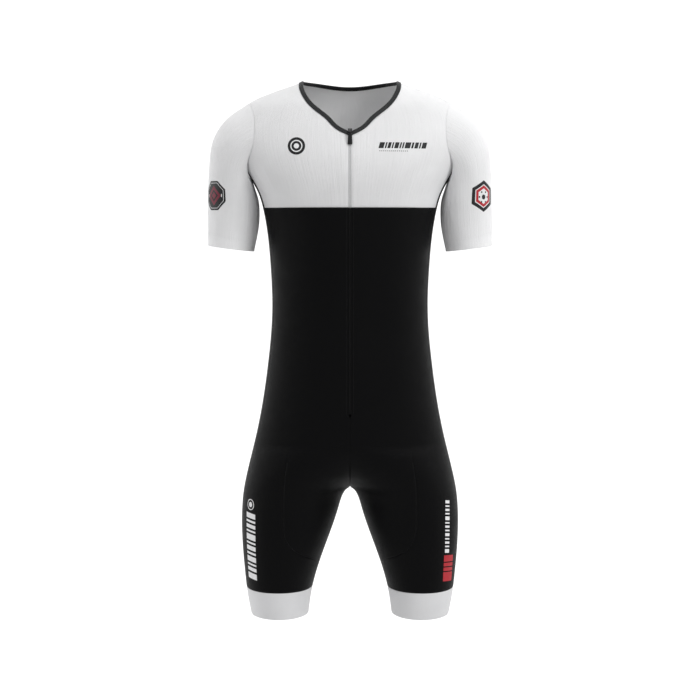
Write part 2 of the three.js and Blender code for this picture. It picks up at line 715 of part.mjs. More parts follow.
const suit = new THREE.Group();
const rightSheets = Object.fromEntries(
  Object.entries(LEFT_SHEETS).map(([name, sheet]) => [name, sheet.mirrored()]));
const backYoke = new Sheet().join(BACK_YOKE).join(BACK_YOKE.mirrored());
const directions = outwardDirections(
  [...Object.values(LEFT_SHEETS), ...Object.values(rightSheets), backYoke]);
for (const [side, sheets] of [['left', LEFT_SHEETS], ['right', rightSheets]]) {
  for (const [name, sheet] of Object.entries(sheets)) {
    const thickness = name === 'leg_band' ? BAND_CLOTH : CLOTH;
    suit.add(named(`${name}_${side}`, wall(sheet, thickness, directions), FINISH[name]));
  }
}
suit.add(named('back_yoke', wall(backYoke, CLOTH, directions), WHITE_CLOTH));
suit.add(named('neck_binding', neckBinding(), BINDING_DARK));
suit.add(named('zip', zip(), ZIP_DARK));

// Slider and tab stand on the slope of the chest, the tab leaning in until it rests on the zip.
const slope = Math.atan((SECTIONS.front(PIN_Z) - SECTIONS.front(PIN_Z + TAB.bottom)) / -TAB.bottom);
const sliderGroup = new THREE.Group();
const pinSeat = surface(across(0, PIN_Z), PIN_Z);
sliderGroup.position.set(0, pinSeat.y - PIN_OUT * Math.cos(slope), PIN_Z + PIN_OUT * Math.sin(slope));
sliderGroup.rotation.x = -slope;
sliderGroup.add(named('zip_slider', slider(), METAL));
const tab = named('zip_pull', pullTab(), METAL);
tab.rotation.x = TAB_LEAN;
sliderGroup.add(tab);
suit.add(sliderGroup);

export default suit;
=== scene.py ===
# %% [markdown]
# # A triathlon suit, as it looks when it is worn
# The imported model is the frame: it says where every panel of the suit is. This script keeps that
# frame and dresses it. Each cut-and-sewn panel is made again as thin cloth with soft seams, then
# come the binding, the zip, the stitches and the prints, and at the end the finishes and the studio.
# Sizes are in millimetres until a mesh is made, because cloth is easier to think of that way.

import math

import bmesh
import bpy
import numpy as np
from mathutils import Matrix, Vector
from mathutils.bvhtree import BVHTree


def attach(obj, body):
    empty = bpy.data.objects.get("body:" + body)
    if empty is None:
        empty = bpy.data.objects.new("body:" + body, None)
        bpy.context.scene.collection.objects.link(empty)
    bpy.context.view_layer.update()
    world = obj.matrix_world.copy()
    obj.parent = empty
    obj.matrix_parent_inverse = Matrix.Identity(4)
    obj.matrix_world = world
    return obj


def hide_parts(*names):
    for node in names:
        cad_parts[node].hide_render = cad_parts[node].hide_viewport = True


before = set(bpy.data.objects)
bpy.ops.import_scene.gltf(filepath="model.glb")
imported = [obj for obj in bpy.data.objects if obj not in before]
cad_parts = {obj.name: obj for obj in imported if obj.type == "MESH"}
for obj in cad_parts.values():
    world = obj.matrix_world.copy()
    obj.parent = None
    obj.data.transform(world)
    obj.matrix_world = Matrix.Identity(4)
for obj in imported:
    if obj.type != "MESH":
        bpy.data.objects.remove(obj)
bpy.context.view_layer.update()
MM = 0.001


def placed(name, data):
    """Puts a mesh, a light or a camera into the scene, at the origin."""
    made = bpy.data.objects.new(name, data)
    bpy.context.scene.collection.objects.link(made)
    return made


def with_modifiers(thing):
    """The plain mesh that an object's modifiers make of it."""
    bpy.context.view_layer.update()
    return bpy.data.meshes.new_from_object(thing.evaluated_get(bpy.context.evaluated_depsgraph_get()))


# %% [markdown]
# ## The form under the cloth
# The suit follows one smooth form. It is described by level sections: at each height the half
# width, the front, middle and back depth, and how square the oval is. A natural cubic spline runs
# through the rows of the table, so the form has no kinks. The same rows shape the solids of the
# frame, so cloth that is cut from this form lies exactly where the frame has its panels.

# %% Smooth runs through short tables


def smooth_run(xs, ys):
    """A natural cubic spline through the points, as a function of whole arrays."""
    xs, ys = np.array(xs, float), np.array(ys, float)
    gaps, last = np.diff(xs), len(xs) - 1
    system, right = np.eye(last + 1), np.zeros(last + 1)
    for i in range(1, last):
        system[i, i - 1 : i + 2] = gaps[i - 1], 2 * (gaps[i - 1] + gaps[i]), gaps[i]
        right[i] = 6 * ((ys[i + 1] - ys[i]) / gaps[i] - (ys[i] - ys[i - 1]) / gaps[i - 1])
    bends = np.linalg.solve(system, right)

    def run(x):
        x = np.asarray(x, float)
        i = np.clip(np.searchsorted(xs, x), 1, last)
        h = gaps[i - 1]
        a = (xs[i] - x) / h
        b = 1 - a
        curl = ((a**3 - a) * bends[i - 1] + (b**3 - b) * bends[i]) * h * h
        return a * ys[i - 1] + b * ys[i] + curl / 6

    return run


def table(columns, rows):
    """Rows of numbers as one smooth run for each named column, read by the first column."""
    rows = sorted(rows)
    heights = [row[0] for row in rows]
    return {c: smooth_run(heights, [row[i + 1] for row in rows]) for i, c in enumerate(columns[1:])}


# %% Heights and sections of the form
SHOULDER_Z, BACK_NECK_Z, TIP_Z = 26.4, 19.4, -8
NECK_POINT_Z, ARM_JOIN_Z, ARM_PIT_Z = -68.5, -120.5, -141.3
COLOUR_LINE_Z, ZIP_END_Z = -190, -541
FORK_Z, FORK_RISE, FORK_WEB, FORK_START, FORK_EASE = -680.4, 85, 15, 0.25, 0.25
HIP_Z = FORK_Z + FORK_RISE
THIGH_SEAM_TURN_Z, THIGH_SEAM_END_Z, BAND_Z, HEM_Z = -748.9, -811.2, -855.5, -903
SIDE_INSET, ZIP_EDGE, ZIP_RUN_OUT = 4, 2.85, 5

SECTIONS = table(
    ["z", "outer", "inner", "front", "mid", "back", "square"],
    [
        [42, 58, 0, -20, 14, 60, 2.1],
        [26.4, 86.8, 0, -40, 12, 74, 2.1],
        [10.9, 130.2, 0, -51, 12, 88, 2.15],
        [-8, 173.7, 0, -64, 12, 101, 2.2],
        [-34, 198.1, 0, -76, 11, 112, 2.25],
        [-63.4, 201.6, 0, -89, 9, 120, 2.3],
        [-98, 194.8, 0, -103, 8, 125, 2.3],
        [-120.5, 184.5, 0, -109, 8, 126, 2.3],
        [-141.3, 171.4, 0, -112, 7, 125, 2.3],
        [-169, 157.2, 0, -113, 6, 121, 2.3],
        [-190, 151.2, 0, -112, 6, 118, 2.3],
        [-245.5, 142, 0, -107, 3, 106, 2.3],
        [-297.6, 137.7, 0, -101, 0, 93, 2.3],
        [-349.8, 135.5, 0, -97, -3, 84, 2.3],
        [-402.3, 137.3, 0, -96, -2, 85, 2.3],
        [-455.1, 142.7, 0, -97, 0, 93, 2.3],
        [-525.9, 152.8, 0, -96, 4, 110, 2.25],
        [-597.1, 167.4, 0, -92, 8, 122, 2.2],
        [-650.4, 180.8, 0, -86, 8, 120, 2.15],
        [-680.4, 187.3, 15, -80, 8, 112, 2.1],
        [-718.1, 191, 25.8, -74, 8, 100, 2.1],
        [-775.4, 190.6, 43.4, -70, 8, 88, 2.1],
        [-832.7, 186, 62.1, -66, 8, 76, 2.1],
        [-861.5, 182.8, 69, -64, 8, 72, 2.1],
        [-903, 175.5, 75, -60, 8, 66, 2.05],
    ],
)
NECKLINE = table(
    ["z", "x"],
    [
        [NECK_POINT_Z, ZIP_EDGE],
        [-61.3, 18],
        [-42, 39.2],
        [-23.1, 62.2],
        [-11.9, 73],
        [2.8, 82],
        [17.2, 86.6],
        [SHOULDER_Z, 86.8],
    ],
)
ARMHOLE = table(
    ["z", "front", "back"],
    [
        [TIP_Z, 173.7, 173.7],
        [-26, 166.4, 170.5],
        [-58, 163.4, 167.5],
        [-92, 167.3, 171],
        [ARM_JOIN_Z, 180.5, 180.5],
    ],
)
THIGH_SEAM = table(
    ["z", "x"],
    [
        [HIP_Z, 103.4],
        [-620.9, 107.1],
        [-673.1, 114.2],
        [-717.2, 115.3],
        [-748.9, 113.8],
        [-766.6, 107],
        [-781.1, 95],
        [-791.7, 78],
        [-799.1, 64.5],
        [-803.5, 57.8],
        [-807.5, 54.4],
        [THIGH_SEAM_END_Z, 53],
    ],
)

# %% A point of the form from its share round the half suit and its height


def section(z):
    """The level section of the left half. Above the fork the two legs' ovals merge."""
    z = np.asarray(z, float)
    rise = np.clip((z - FORK_Z) / FORK_RISE, 0, 1)
    outer, square = SECTIONS["outer"](z), SECTIONS["square"](z)
    web = FORK_WEB * (1 - rise**2) ** 2
    closing = 1 - (1 - FORK_START) * (1 - rise) ** 6
    closed = np.sqrt((1 - (1 - rise) ** 2) * closing)
    ease = np.clip((1 - rise) / FORK_EASE, 0, 1)  # so that the cloth has no crease at the hip
    overlap = np.clip(1 - closed**square, 0, 1) ** (1 / square) * ease * (2 - ease)
    above = z > FORK_Z
    half = np.where(above, (outer - web) / (1 + overlap), (outer - SECTIONS["inner"](z)) / 2)
    return {
        "web": web,
        "square": square,
        "half": half,
        "centre": outer - half,
        "start": np.where(above, np.arccos(np.clip(overlap ** (square / 2), 0, 1)), 0),
        "front": SECTIONS["front"](z),
        "mid": SECTIONS["mid"](z),
        "back": SECTIONS["back"](z),
    }


def signed_power(value, power):
    return np.sign(value) * np.abs(value) ** power


def surface(u, z):
    """u runs from the front middle (0) by the side (0.5) to the back middle (1)."""
    u, z = np.broadcast_arrays(np.asarray(u, float), np.asarray(z, float))
    s = section(z)
    angle = s["start"] + u * 2 * (np.pi - s["start"])
    x = s["centre"] - s["half"] * signed_power(np.cos(angle), 2 / s["square"])
    reach = np.where(np.sin(angle) > 0, s["mid"] - s["front"], s["back"] - s["mid"])
    y = s["mid"] - reach * signed_power(np.sin(angle), 2 / s["square"])
    return np.stack([np.sqrt(np.maximum(0, x * x - s["web"] ** 2)), y, z], axis=-1)


def across(x, z, behind=False):
    """The u of the point at distance x from the middle, on the front or on the back."""
    s = section(z)
    cosine = np.clip((s["centre"] - np.hypot(x, s["web"])) / s["half"], -1, 1)
    angle = np.arccos(signed_power(cosine, s["square"] / 2))
    on_front = (angle - s["start"]) / (2 * (np.pi - s["start"]))
    return 1 - on_front if behind else on_front


# %% Seam lines, each as the u that it has at height z


def side_x(z):
    return surface(0.5, z)[..., 0] - SIDE_INSET


def side_front(z):
    return across(side_x(z), z)


def side_back(z):
    return across(side_x(z), z, behind=True)


def thigh_seam(z):
    z = np.asarray(z, float)
    return np.where(z > THIGH_SEAM_END_Z, across(THIGH_SEAM["x"](z), z), 0)


def centre_front(z):
    z = np.asarray(z, float)
    run = np.clip((z - ZIP_END_Z) / ZIP_RUN_OUT + 1, 0, 1)
    neck, opening = across(NECKLINE["x"](z), z), across(ZIP_EDGE * run, z)
    return np.where(z > NECK_POINT_Z, neck, np.where(z > HIP_Z, opening, 0))


def centre_back(z):
    z = np.asarray(z, float)
    share = np.clip((z - BACK_NECK_Z) / (SHOULDER_Z - BACK_NECK_Z), 0, 1)
    neck_x = surface(0.5, SHOULDER_Z)[0] * np.arcsin(np.sqrt(share)) / (np.pi / 2)
    return np.where(z > BACK_NECK_Z, across(neck_x, z, behind=True), 1)


def yoke_side(z, behind):
    z = np.asarray(z, float)
    armhole = across(ARMHOLE["back" if behind else "front"](z), z, behind)
    side = side_back(z) if behind else side_front(z)
    return np.where(z >= TIP_Z, 0.5, np.where(z > ARM_JOIN_Z, armhole, side))


# %% [markdown]
# ## Soft relief
# The suit is stretched tight, so it has hardly a fold: only a few soft pulls run from the pits of
# the arms, from the fork and beside the zip, and shallow waves cross the small of the back. Cloth
# simulation would add folds everywhere, so each pull is placed one by one as a low, uneven ridge. One
# function gives the relief at any point in space, so a pull runs over a seam without a step.

# %% Pulls, each as three points, a width and a height
PULL_STEPS = 14


def on_form(x, z, behind=False):
    """A point of the body at distance x from the middle, on the wearer's left or right side."""
    point = surface(across(abs(x), z, behind), z)
    return point * np.array([math.copysign(1, x), 1, 1])


FRONT_PULLS = [  # three (x, z) points, width, height
    [(150, -122), (128, -140), (98, -150), 9, 1.0],
    [(149, -136), (120, -160), (84, -172), 11, 0.8],
    [(140, -165), (118, -196), (96, -214), 13, 0.7],
    [(12, -86), (16, -120), (11, -165), 6, 0.5],
    [(10, -205), (14, -260), (9, -330), 8, 0.5],
    [(24, -230), (30, -300), (22, -380), 11, 0.45],
    [(128, -330), (104, -352), (70, -360), 15, 0.7],
    [(131, -376), (100, -384), (64, -380), 14, 0.6],
    [(133, -420), (110, -436), (82, -440), 13, 0.5],
    [(24, -655), (58, -628), (104, -612), 8, 1.0],
    [(22, -668), (66, -652), (118, -646), 8, 0.9],
    [(26, -684), (64, -684), (104, -694), 9, 0.8],
    [(150, -700), (146, -752), (158, -800), 12, 0.6],
]
BACK_PULLS = [
    [(152, -118), (120, -134), (84, -136), 10, 1.0],
    [(148, -140), (112, -162), (74, -170), 12, 0.9],
    [(34, -60), (40, -110), (30, -165), 13, 0.7],
    [(78, -40), (74, -90), (80, -140), 13, 0.6],
    [(126, -318), (86, -334), (30, -330), 13, 1.1],
    [(128, -352), (84, -362), (22, -354), 12, 1.2],
    [(130, -388), (88, -392), (34, -384), 13, 0.9],
    [(16, -560), (40, -604), (88, -640), 12, 0.9],
    [(22, -668), (60, -672), (108, -690), 9, 1.1],
    [(24, -690), (60, -702), (100, -724), 9, 0.9],
    [(150, -690), (150, -750), (144, -806), 12, 0.6],
]
SLEEVE_PULLS = [  # three (x, y, z) points on the left sleeve
    [(186, -54, -88), (204, -53, -116), (214, -50, -150), 11, 0.9],
    [(176, -47, -128), (186, -49, -160), (188, -47, -196), 10, 0.8],
    [(232, -36, -196), (222, -44, -214), (204, -47, -226), 12, 0.6],
    [(190, 62, -92), (206, 62, -122), (212, 58, -160), 12, 0.9],
    [(230, 44, -200), (214, 52, -218), (190, 50, -224), 12, 0.7],
]
RIGHT_DRIFT = 7  # how far the pulls of the right side wander from those of the left, in mm


def pull_line(points, side, index):
    """The ridge line of a pull on one side, a little different on the right from the left."""
    drift = 0 if side > 0 else RIGHT_DRIFT * math.sin(2.4 * index + 1)
    a, b, c = (np.array(p, float) + [0, 0, drift] for p in points)
    t = np.linspace(0, 1, PULL_STEPS)[:, None]
    line = (1 - t) ** 2 * a + 2 * t * (1 - t) * b + t**2 * c
    return line * np.array([side, 1, 1])


pulls = []
for side in (1, -1):
    for behind, rows in ((False, FRONT_PULLS), (True, BACK_PULLS)):
        for i, (*points, width, high) in enumerate(rows):
            line = pull_line([on_form(x, z, behind) for x, z in points], side, i)
            pulls.append((line, width, high))
    for i, (*points, width, high) in enumerate(SLEEVE_PULLS):
        pulls.append((pull_line(points, side, i), width, high))


def relief(points):
    """How far the cloth stands out at each point because of the pulls, in mm."""
    out = np.zeros(len(points))
    for line, width, high in pulls:
        low, top = line.min(0) - 3 * width, line.max(0) + 3 * width
        near = np.where(np.all((points > low) & (points < top), axis=1))[0]
        if not len(near):
            continue
        apart = np.linalg.norm(points[near, None] - line[None], axis=2)
        nearest = apart.argmin(1)
        taper = np.sin(np.pi * (nearest + 0.5) / PULL_STEPS) ** 0.8
        out[near] += high * taper * np.exp(-((apart.min(1) / width) ** 2))
    return out


print("relief:", len(pulls), "soft pulls")

# %% [markdown]
# ## From a grid of points to a piece of cloth
# Every panel starts as a grid of points on the form: rows go down, columns go round. The grid is
# finer beside the seams, where the cloth rolls in by half a millimetre, because that small valley
# is what makes a seam readable. Points that fall together are welded, the skin gets an inner side
# and a rounded edge, and the mesh gets a UV map in metres along the grain, for the knit.

# %% Spacing of rows and columns
CELL = 3.6
FINE, COARSE = 400, 40  # how many points a line gets that is only measured
SEAM_STEPS = [0.0, 0.5, 1.1, 2.0, 3.6]  # distances from a seam, in mm


def spaced(length):
    """Shares from 0 to 1 over a length: close together at both ends, even between them."""
    ends = np.array(SEAM_STEPS) * min(1, length / (4 * SEAM_STEPS[-1]))
    count = max(2, round((length - 2 * ends[-1]) / CELL))
    middle = np.linspace(ends[-1], length - ends[-1], count + 1)
    return np.concatenate([ends[:-1], middle, length - ends[-2::-1]]) / length


def run_length(points):
    """The distance walked along a row of points, from 0 at the first."""
    steps = np.linalg.norm(np.diff(points, axis=0), axis=1)
    return np.concatenate([[0], np.cumsum(steps)])


def level_rows(top, bottom, from_u, to_u):
    """Heights from top to bottom, spaced along the cloth where it runs down most slowly."""
    z = np.linspace(top, bottom, FINE)
    walked = [run_length(surface(from_u(z) * (1 - s) + to_u(z) * s, z)) for s in (0.02, 0.35, 0.7, 0.98)]
    longest = max(walked, key=lambda run: run[-1])
    return np.interp(spaced(longest[-1]) * longest[-1], longest, z)


def panel_grid(top, bottom, from_u, to_u):
    """The grid of a panel between two seam lines."""
    z = level_rows(top, bottom, from_u, to_u)
    starts, ends = from_u(z), to_u(z)
    rim = surface(starts[:, None] + (ends - starts)[:, None] * np.linspace(0, 1, COARSE), z[:, None])
    width = max(run_length(row)[-1] for row in rim)
    shares = spaced(width)
    return surface(starts[:, None] + (ends - starts)[:, None] * shares, z[:, None])


# %% The cloth maker
SEAM_ROLL = 0.5  # how deep the cloth sinks into a seam
SEAM_ROLL_WIDTH = 1.5
SEAM_ROOM = 0.1  # half of the gap between two panels
THIN = 0.9  # thickness of the knit
EDGES = ("top", "bottom", "first", "last")


def edge_distances(grid):
    """For each grid point, the distance along the cloth to each of the four edges."""
    down = np.stack([run_length(grid[:, c]) for c in range(grid.shape[1])], axis=1)
    along = np.stack([run_length(row) for row in grid])
    return {
        "top": down,
        "bottom": down[-1:] - down,
        "first": along,
        "last": along[:, -1:] - along,
    }


def weld(points):
    """Numbers equal points alike and returns one number for each point and the kept points."""
    keys = np.round(points * 500).astype(np.int64)
    _, first, number = np.unique(keys, axis=0, return_index=True, return_inverse=True)
    return number.reshape(-1), points[first]


def skin_of(grid, split=None):
    """Welds a grid into a skin. split names a strip of cells that is left out."""
    number, points = weld(grid.reshape(-1, 3))
    index = number.reshape(grid.shape[:2])
    corners = [index[1:, :-1], index[1:, 1:], index[:-1, 1:], index[:-1, :-1]]
    cells = np.stack(corners, axis=-1)
    cells = cells if split is None else np.delete(cells, split, axis=1)
    faces = cells.reshape(-1, 4)
    a, b, c, d = (points[faces[:, k]] for k in range(4))
    areas = np.cross(c - a, d - b)
    kept = np.linalg.norm(areas, axis=1) > 1e-4
    faces, areas = faces[kept], areas[kept]
    normals = np.zeros_like(points)
    for k in range(4):
        np.add.at(normals, faces[:, k], areas)
    normals /= np.maximum(np.linalg.norm(normals, axis=1, keepdims=True), 1e-9)
    rings = [[int(v) for k, v in enumerate(face) if v != face[k - 1]] for face in faces]
    used = {(ring[k - 1], v) for ring in rings for k, v in enumerate(ring)}
    border = sorted((a, b) for a, b in used if (b, a) not in used)
    return number, points, rings, normals, border, areas


def closed_shell(name, outer, inner, rings, border, middle=None):
    """A piece from an outer and an inner skin and the edge between them, rounded by a middle line.

    It comes with the number of the skin point that each of its vertices belongs to.
    """
    count = len(outer)
    on_border = sorted({v for pair in border for v in pair})
    rim = {v: 2 * count + k for k, v in enumerate(on_border)}
    vertices = [outer, inner] + ([middle[on_border]] if middle is not None else [])
    faces = rings + [[v + count for v in reversed(ring)] for ring in rings]
    for a, b in border:
        if middle is None:
            faces.append([b, a, a + count, b + count])
        else:
            faces += [[b, a, rim[a], rim[b]], [rim[b], rim[a], a + count, b + count]]
    mesh = bpy.data.meshes.new(name)
    mesh.from_pydata((np.concatenate(vertices) * MM).tolist(), [], faces)
    mesh.validate()
    mesh.shade_smooth()
    if middle is None:
        mesh.set_sharp_from_angle(angle=math.radians(40))
    source = [*range(count), *range(count), *(on_border if middle is not None else [])]
    return placed(name, mesh), np.array(source)


skins, pieces = {}, {}

HALF_GIRTH = 440  # mm of cloth round half of the body, for the straight grain


def straight_grain(grid):
    """Grain lines that run down the form without a kink, wherever a panel's edges turn."""
    x, y, z = (grid[..., k] for k in range(3))
    behind = y > SECTIONS["mid"](z)
    return HALF_GIRTH * np.where(behind, across(np.abs(x), z, True), across(np.abs(x), z))


def cloth(
    name, grid, seams, thickness=THIN, thicker=None, mirrored=False, bulge=0.3, split=None, on_body=True
):
    """Makes a piece of cloth from its grid. seams gives how strongly each edge rolls in, 0 to 1."""
    if mirrored:
        grid = grid[:, ::-1] * np.array([-1, 1, 1])
        seams = dict(seams, first=seams.get("last", 0), last=seams.get("first", 0))
        thicker = None if thicker is None else thicker[:, ::-1]
    rows, columns = grid.shape[:2]
    distances = edge_distances(grid)
    grid = grid.copy()
    if seams.get("top"):
        grid[0] += (grid[1] - grid[0]) * SEAM_ROOM / SEAM_STEPS[1]
    if seams.get("bottom"):
        grid[-1] += (grid[-2] - grid[-1]) * SEAM_ROOM / SEAM_STEPS[1]
    roll = np.zeros((rows, columns))
    for edge in EDGES:
        depth = seams.get(edge, 0)
        depth = depth[:, None] if np.ndim(depth) == 1 and edge in ("first", "last") else depth
        roll = np.maximum(roll, depth * SEAM_ROLL * np.exp(-((distances[edge] / SEAM_ROLL_WIDTH) ** 2)))

    number, points, rings, normals, border, areas = skin_of(grid, split)
    shift = np.zeros(len(points))
    shift[number] = -roll.reshape(-1)
    thick = np.full(len(points), thickness)
    if thicker is not None:
        thick[number] = thickness + thicker.reshape(-1)
    outer = points + normals * (relief(points) + shift)[:, None]
    inner = outer - normals * thick[:, None]

    onto_edge = np.zeros_like(points)
    for a, b in border:
        away = np.cross(outer[b] - outer[a], normals[a])
        away /= max(np.linalg.norm(away), 1e-9)
        onto_edge[a] += away
        onto_edge[b] += away
    onto_edge /= np.maximum(np.linalg.norm(onto_edge, axis=1, keepdims=True), 1e-9)
    middle = (outer + inner) / 2 + onto_edge * (thick * bulge)[:, None]
    piece, source = closed_shell(name, outer, inner, rings, border, middle)
    skins[name] = {"points": outer[number].reshape(grid.shape), "out": normals[number].reshape(grid.shape)}
    skins[name]["tree"] = BVHTree.FromPolygons(outer.tolist(), rings)

    # The UV map follows the grain: metres round the panel and metres down it.
    down, along = distances["top"], distances["first"]
    shared = (along / np.maximum(along[:, -1:], 1e-6)) * along[:, -1].max()
    grain_u = straight_grain(grid) if on_body else shared
    grain = np.zeros((len(points), 2))
    grain[number] = np.stack([grain_u, down], axis=-1).reshape(-1, 2) * MM
    mesh = piece.data
    uv = mesh.uv_layers.new(name="grain")
    corner = np.empty(len(mesh.loops), np.int32)
    mesh.loops.foreach_get("vertex_index", corner)
    uv.data.foreach_set("uv", grain[source[corner]].reshape(-1).astype(np.float32))

    area = 0.5 * np.linalg.norm(areas, axis=1).sum() * MM**2
    cut = (round(along[:, -1].max() * MM, 3), round(down[-1].max() * MM, 3))
    print(f"{name}: {len(mesh.polygons)} faces, cut {cut[0]} x {cut[1]} m, {area:.4f} m2")
    piece["cut"] = cut
    piece["cut_area"] = area
    pieces[name] = piece


def lay(piece, nodes):
    """Hands a finished piece of cloth to the frame."""
    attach(piece, "suit")
    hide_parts(*nodes)


# %% [markdown]
# ## The panels
# The white yoke, the black body, the side strips, the thigh panels and the leg bands are all
# grids between two seam lines. Left and right are mirror images, so each grid is made once. Where
# the thigh panel meets the body at the hip no seam shows, so those edges get no roll.

# %% Yoke, body, side and thigh panels
SIDES = {"left": False, "right": True}
SEAM_FADE = 60  # over this height the thigh seam grows out of the smooth hip, in mm
SIDE_FADE_END = -170  # down to here the side strip's rows dip to the pit of the arm
STRIP_COUNT_Z, INNER_COUNT_Z, OUTER_COUNT_Z = -500.0, -780.0, -700.0  # where columns are counted


def seam_growth(z):
    return np.clip((HIP_Z - z) / SEAM_FADE, 0, 1)


def side_row_height(z, share):
    """The side strip's rows dip to the pit of the arm, the top one most."""
    fade = np.clip((z - SIDE_FADE_END) / (ARM_JOIN_Z - SIDE_FADE_END), 0, 1)
    return z + (ARM_PIT_Z - ARM_JOIN_Z) * fade * (1 - (2 * share - 1) ** 2)


def side_grid():
    z = ARM_JOIN_Z + (HIP_Z - ARM_JOIN_Z) * spaced(ARM_JOIN_Z - HIP_Z)
    round_strip = np.linspace(side_front(STRIP_COUNT_Z), side_back(STRIP_COUNT_Z), COARSE)
    shares = spaced(run_length(surface(round_strip, STRIP_COUNT_Z))[-1])
    low = side_row_height(z[:, None], shares[None])
    start, end = side_front(low), side_back(low)
    return surface(start + (end - start) * shares, low)


def crotch_grid():
    """Inside the thigh seam the columns keep their places and end where the seam turns in."""
    z = level_rows(HIP_Z, THIGH_SEAM_END_Z, lambda z: 0 * z, thigh_seam)
    widest = thigh_seam(np.maximum(z, THIGH_SEAM_TURN_Z))
    seam = thigh_seam(z)
    shares = spaced(run_length(surface(np.linspace(0, widest.max(), COARSE), FORK_Z))[-1])
    return z, surface(np.minimum(shares * widest[:, None], seam[:, None]), z[:, None])


def thigh_grid(top, bottom):
    """The thigh panel's columns come out from under the curved seam as it turns in."""
    z = level_rows(top, bottom, lambda z: thigh_seam(z), side_back)
    widest, seam, end = thigh_seam(np.maximum(z, THIGH_SEAM_TURN_Z)), thigh_seam(z), side_back(z)
    inner = spaced(run_length(surface(np.linspace(0, widest.max(), COARSE), INNER_COUNT_Z))[-1])[:-1]
    outer = spaced(run_length(surface(np.linspace(widest.max(), end.max(), COARSE), OUTER_COUNT_Z))[-1])
    u = np.concatenate(
        [
            np.maximum(seam[:, None], inner * widest[:, None]),
            widest[:, None] + (end - widest)[:, None] * outer,
        ],
        axis=1,
    )
    return z, surface(u, z[:, None])


front_yoke_grid = panel_grid(SHOULDER_Z, COLOUR_LINE_Z, centre_front, lambda z: yoke_side(z, False))
back_yoke_half = panel_grid(SHOULDER_Z, COLOUR_LINE_Z, lambda z: yoke_side(z, True), centre_back)
back_yoke_grid = np.concatenate([back_yoke_half, back_yoke_half[:, ::-1] * np.array([-1, 1, 1])], axis=1)
BACK_MIDDLE = back_yoke_half.shape[1] - 1  # the strip between the halves, which would close the neck
front_body_grid = panel_grid(COLOUR_LINE_Z, HIP_Z, centre_front, side_front)
side_panel_grid = side_grid()
back_body_grid = panel_grid(COLOUR_LINE_Z, BAND_Z, side_back, lambda z: np.ones_like(z))
crotch_z, crotch_points = crotch_grid()
thigh_z, thigh_points = thigh_grid(HIP_Z, BAND_Z)

THIGH_ROLL = 1.7  # the curved thigh seam is pressed in more than the others
HIP_FADE = 45  # above the hip the front seam of the side strip runs out over this height, in mm


def above_hip(grid):
    return np.clip((grid[:, 0, 2] - HIP_Z) / HIP_FADE, 0, 1)


PANELS = {  # the grid of each panel, and how strongly its edges roll in
    "yoke_front": (front_yoke_grid, dict(bottom=1, first=0.8, last=0.6)),
    "body_front": (front_body_grid, dict(top=1, first=1, last=above_hip(front_body_grid))),
    "body_crotch": (crotch_points, dict(last=THIGH_ROLL * seam_growth(crotch_z), first=0.6)),
    "side_strip": (side_panel_grid, dict(top=1, first=above_hip(side_panel_grid), last=1)),
    "thigh": (thigh_points, dict(first=THIGH_ROLL * seam_growth(thigh_z), last=1, bottom=1)),
    "body_back": (back_body_grid, dict(top=1, first=1, last=0.8, bottom=1)),
}
for side, mirrored in SIDES.items():
    for name, (grid, seams) in PANELS.items():
        cloth(f"{name}_{side}", grid, seams, mirrored=mirrored)
cloth("yoke_back", back_yoke_grid, dict(bottom=1, first=0.6, last=0.6), split=BACK_MIDDLE)

# %% [markdown]
# ## The sleeves
# A set-in sleeve is a tube whose top is cut to the armhole. It starts as the armhole's closed line
# and runs down through a few rings to its hem. Each point of the armhole follows its own smooth
# curve through the rings, which is what the cut of a real sleeve does with the thread of the cloth.

# %% Rings of the sleeve
SLEEVE_RINGS = [
    dict(ridge_x=215.1, ridge_z=-37.8, pit_x=165.2, pit_z=-158.7, depth=61, mid=5),
    dict(ridge_x=237.9, ridge_z=-74, pit_x=160.6, pit_z=-171, depth=58, mid=5),
    dict(ridge_x=245.2, ridge_z=-127.5, pit_x=157.8, pit_z=-188, depth=55, mid=5),
    dict(ridge_x=247.3, ridge_z=-189.9, pit_x=158.6, pit_z=-220, depth=52, mid=5),
    dict(ridge_x=247.7, ridge_z=-255.1, pit_x=167.2, pit_z=-265.2, depth=50, mid=5),
]
ARMPIT_GAP, ARMPIT_GAP_SHARE = 4, 0.625
PIT_SHARES = np.linspace(0, 1, 25)
SLEEVE_SHARES = np.linspace(0, 1, 121)


def armhole_line():
    """The armhole's closed line, from the shoulder down the front, under the arm and up the back."""
    z = np.linspace(TIP_Z, ARM_JOIN_Z, 300)
    front, back = surface(yoke_side(z, False), z), surface(yoke_side(z, True), z)[::-1]
    low = side_row_height(ARM_JOIN_Z, PIT_SHARES)
    start, end = side_front(low), side_back(low)
    under = surface(start + (end - start) * PIT_SHARES, low)
    line = np.concatenate([front, under[1:-1], back])
    walked = run_length(line)
    even = np.linspace(0, walked[-1], round(walked[-1] / CELL) + 1)
    return np.stack([np.interp(even, walked, line[:, k]) for k in range(3)], axis=1)


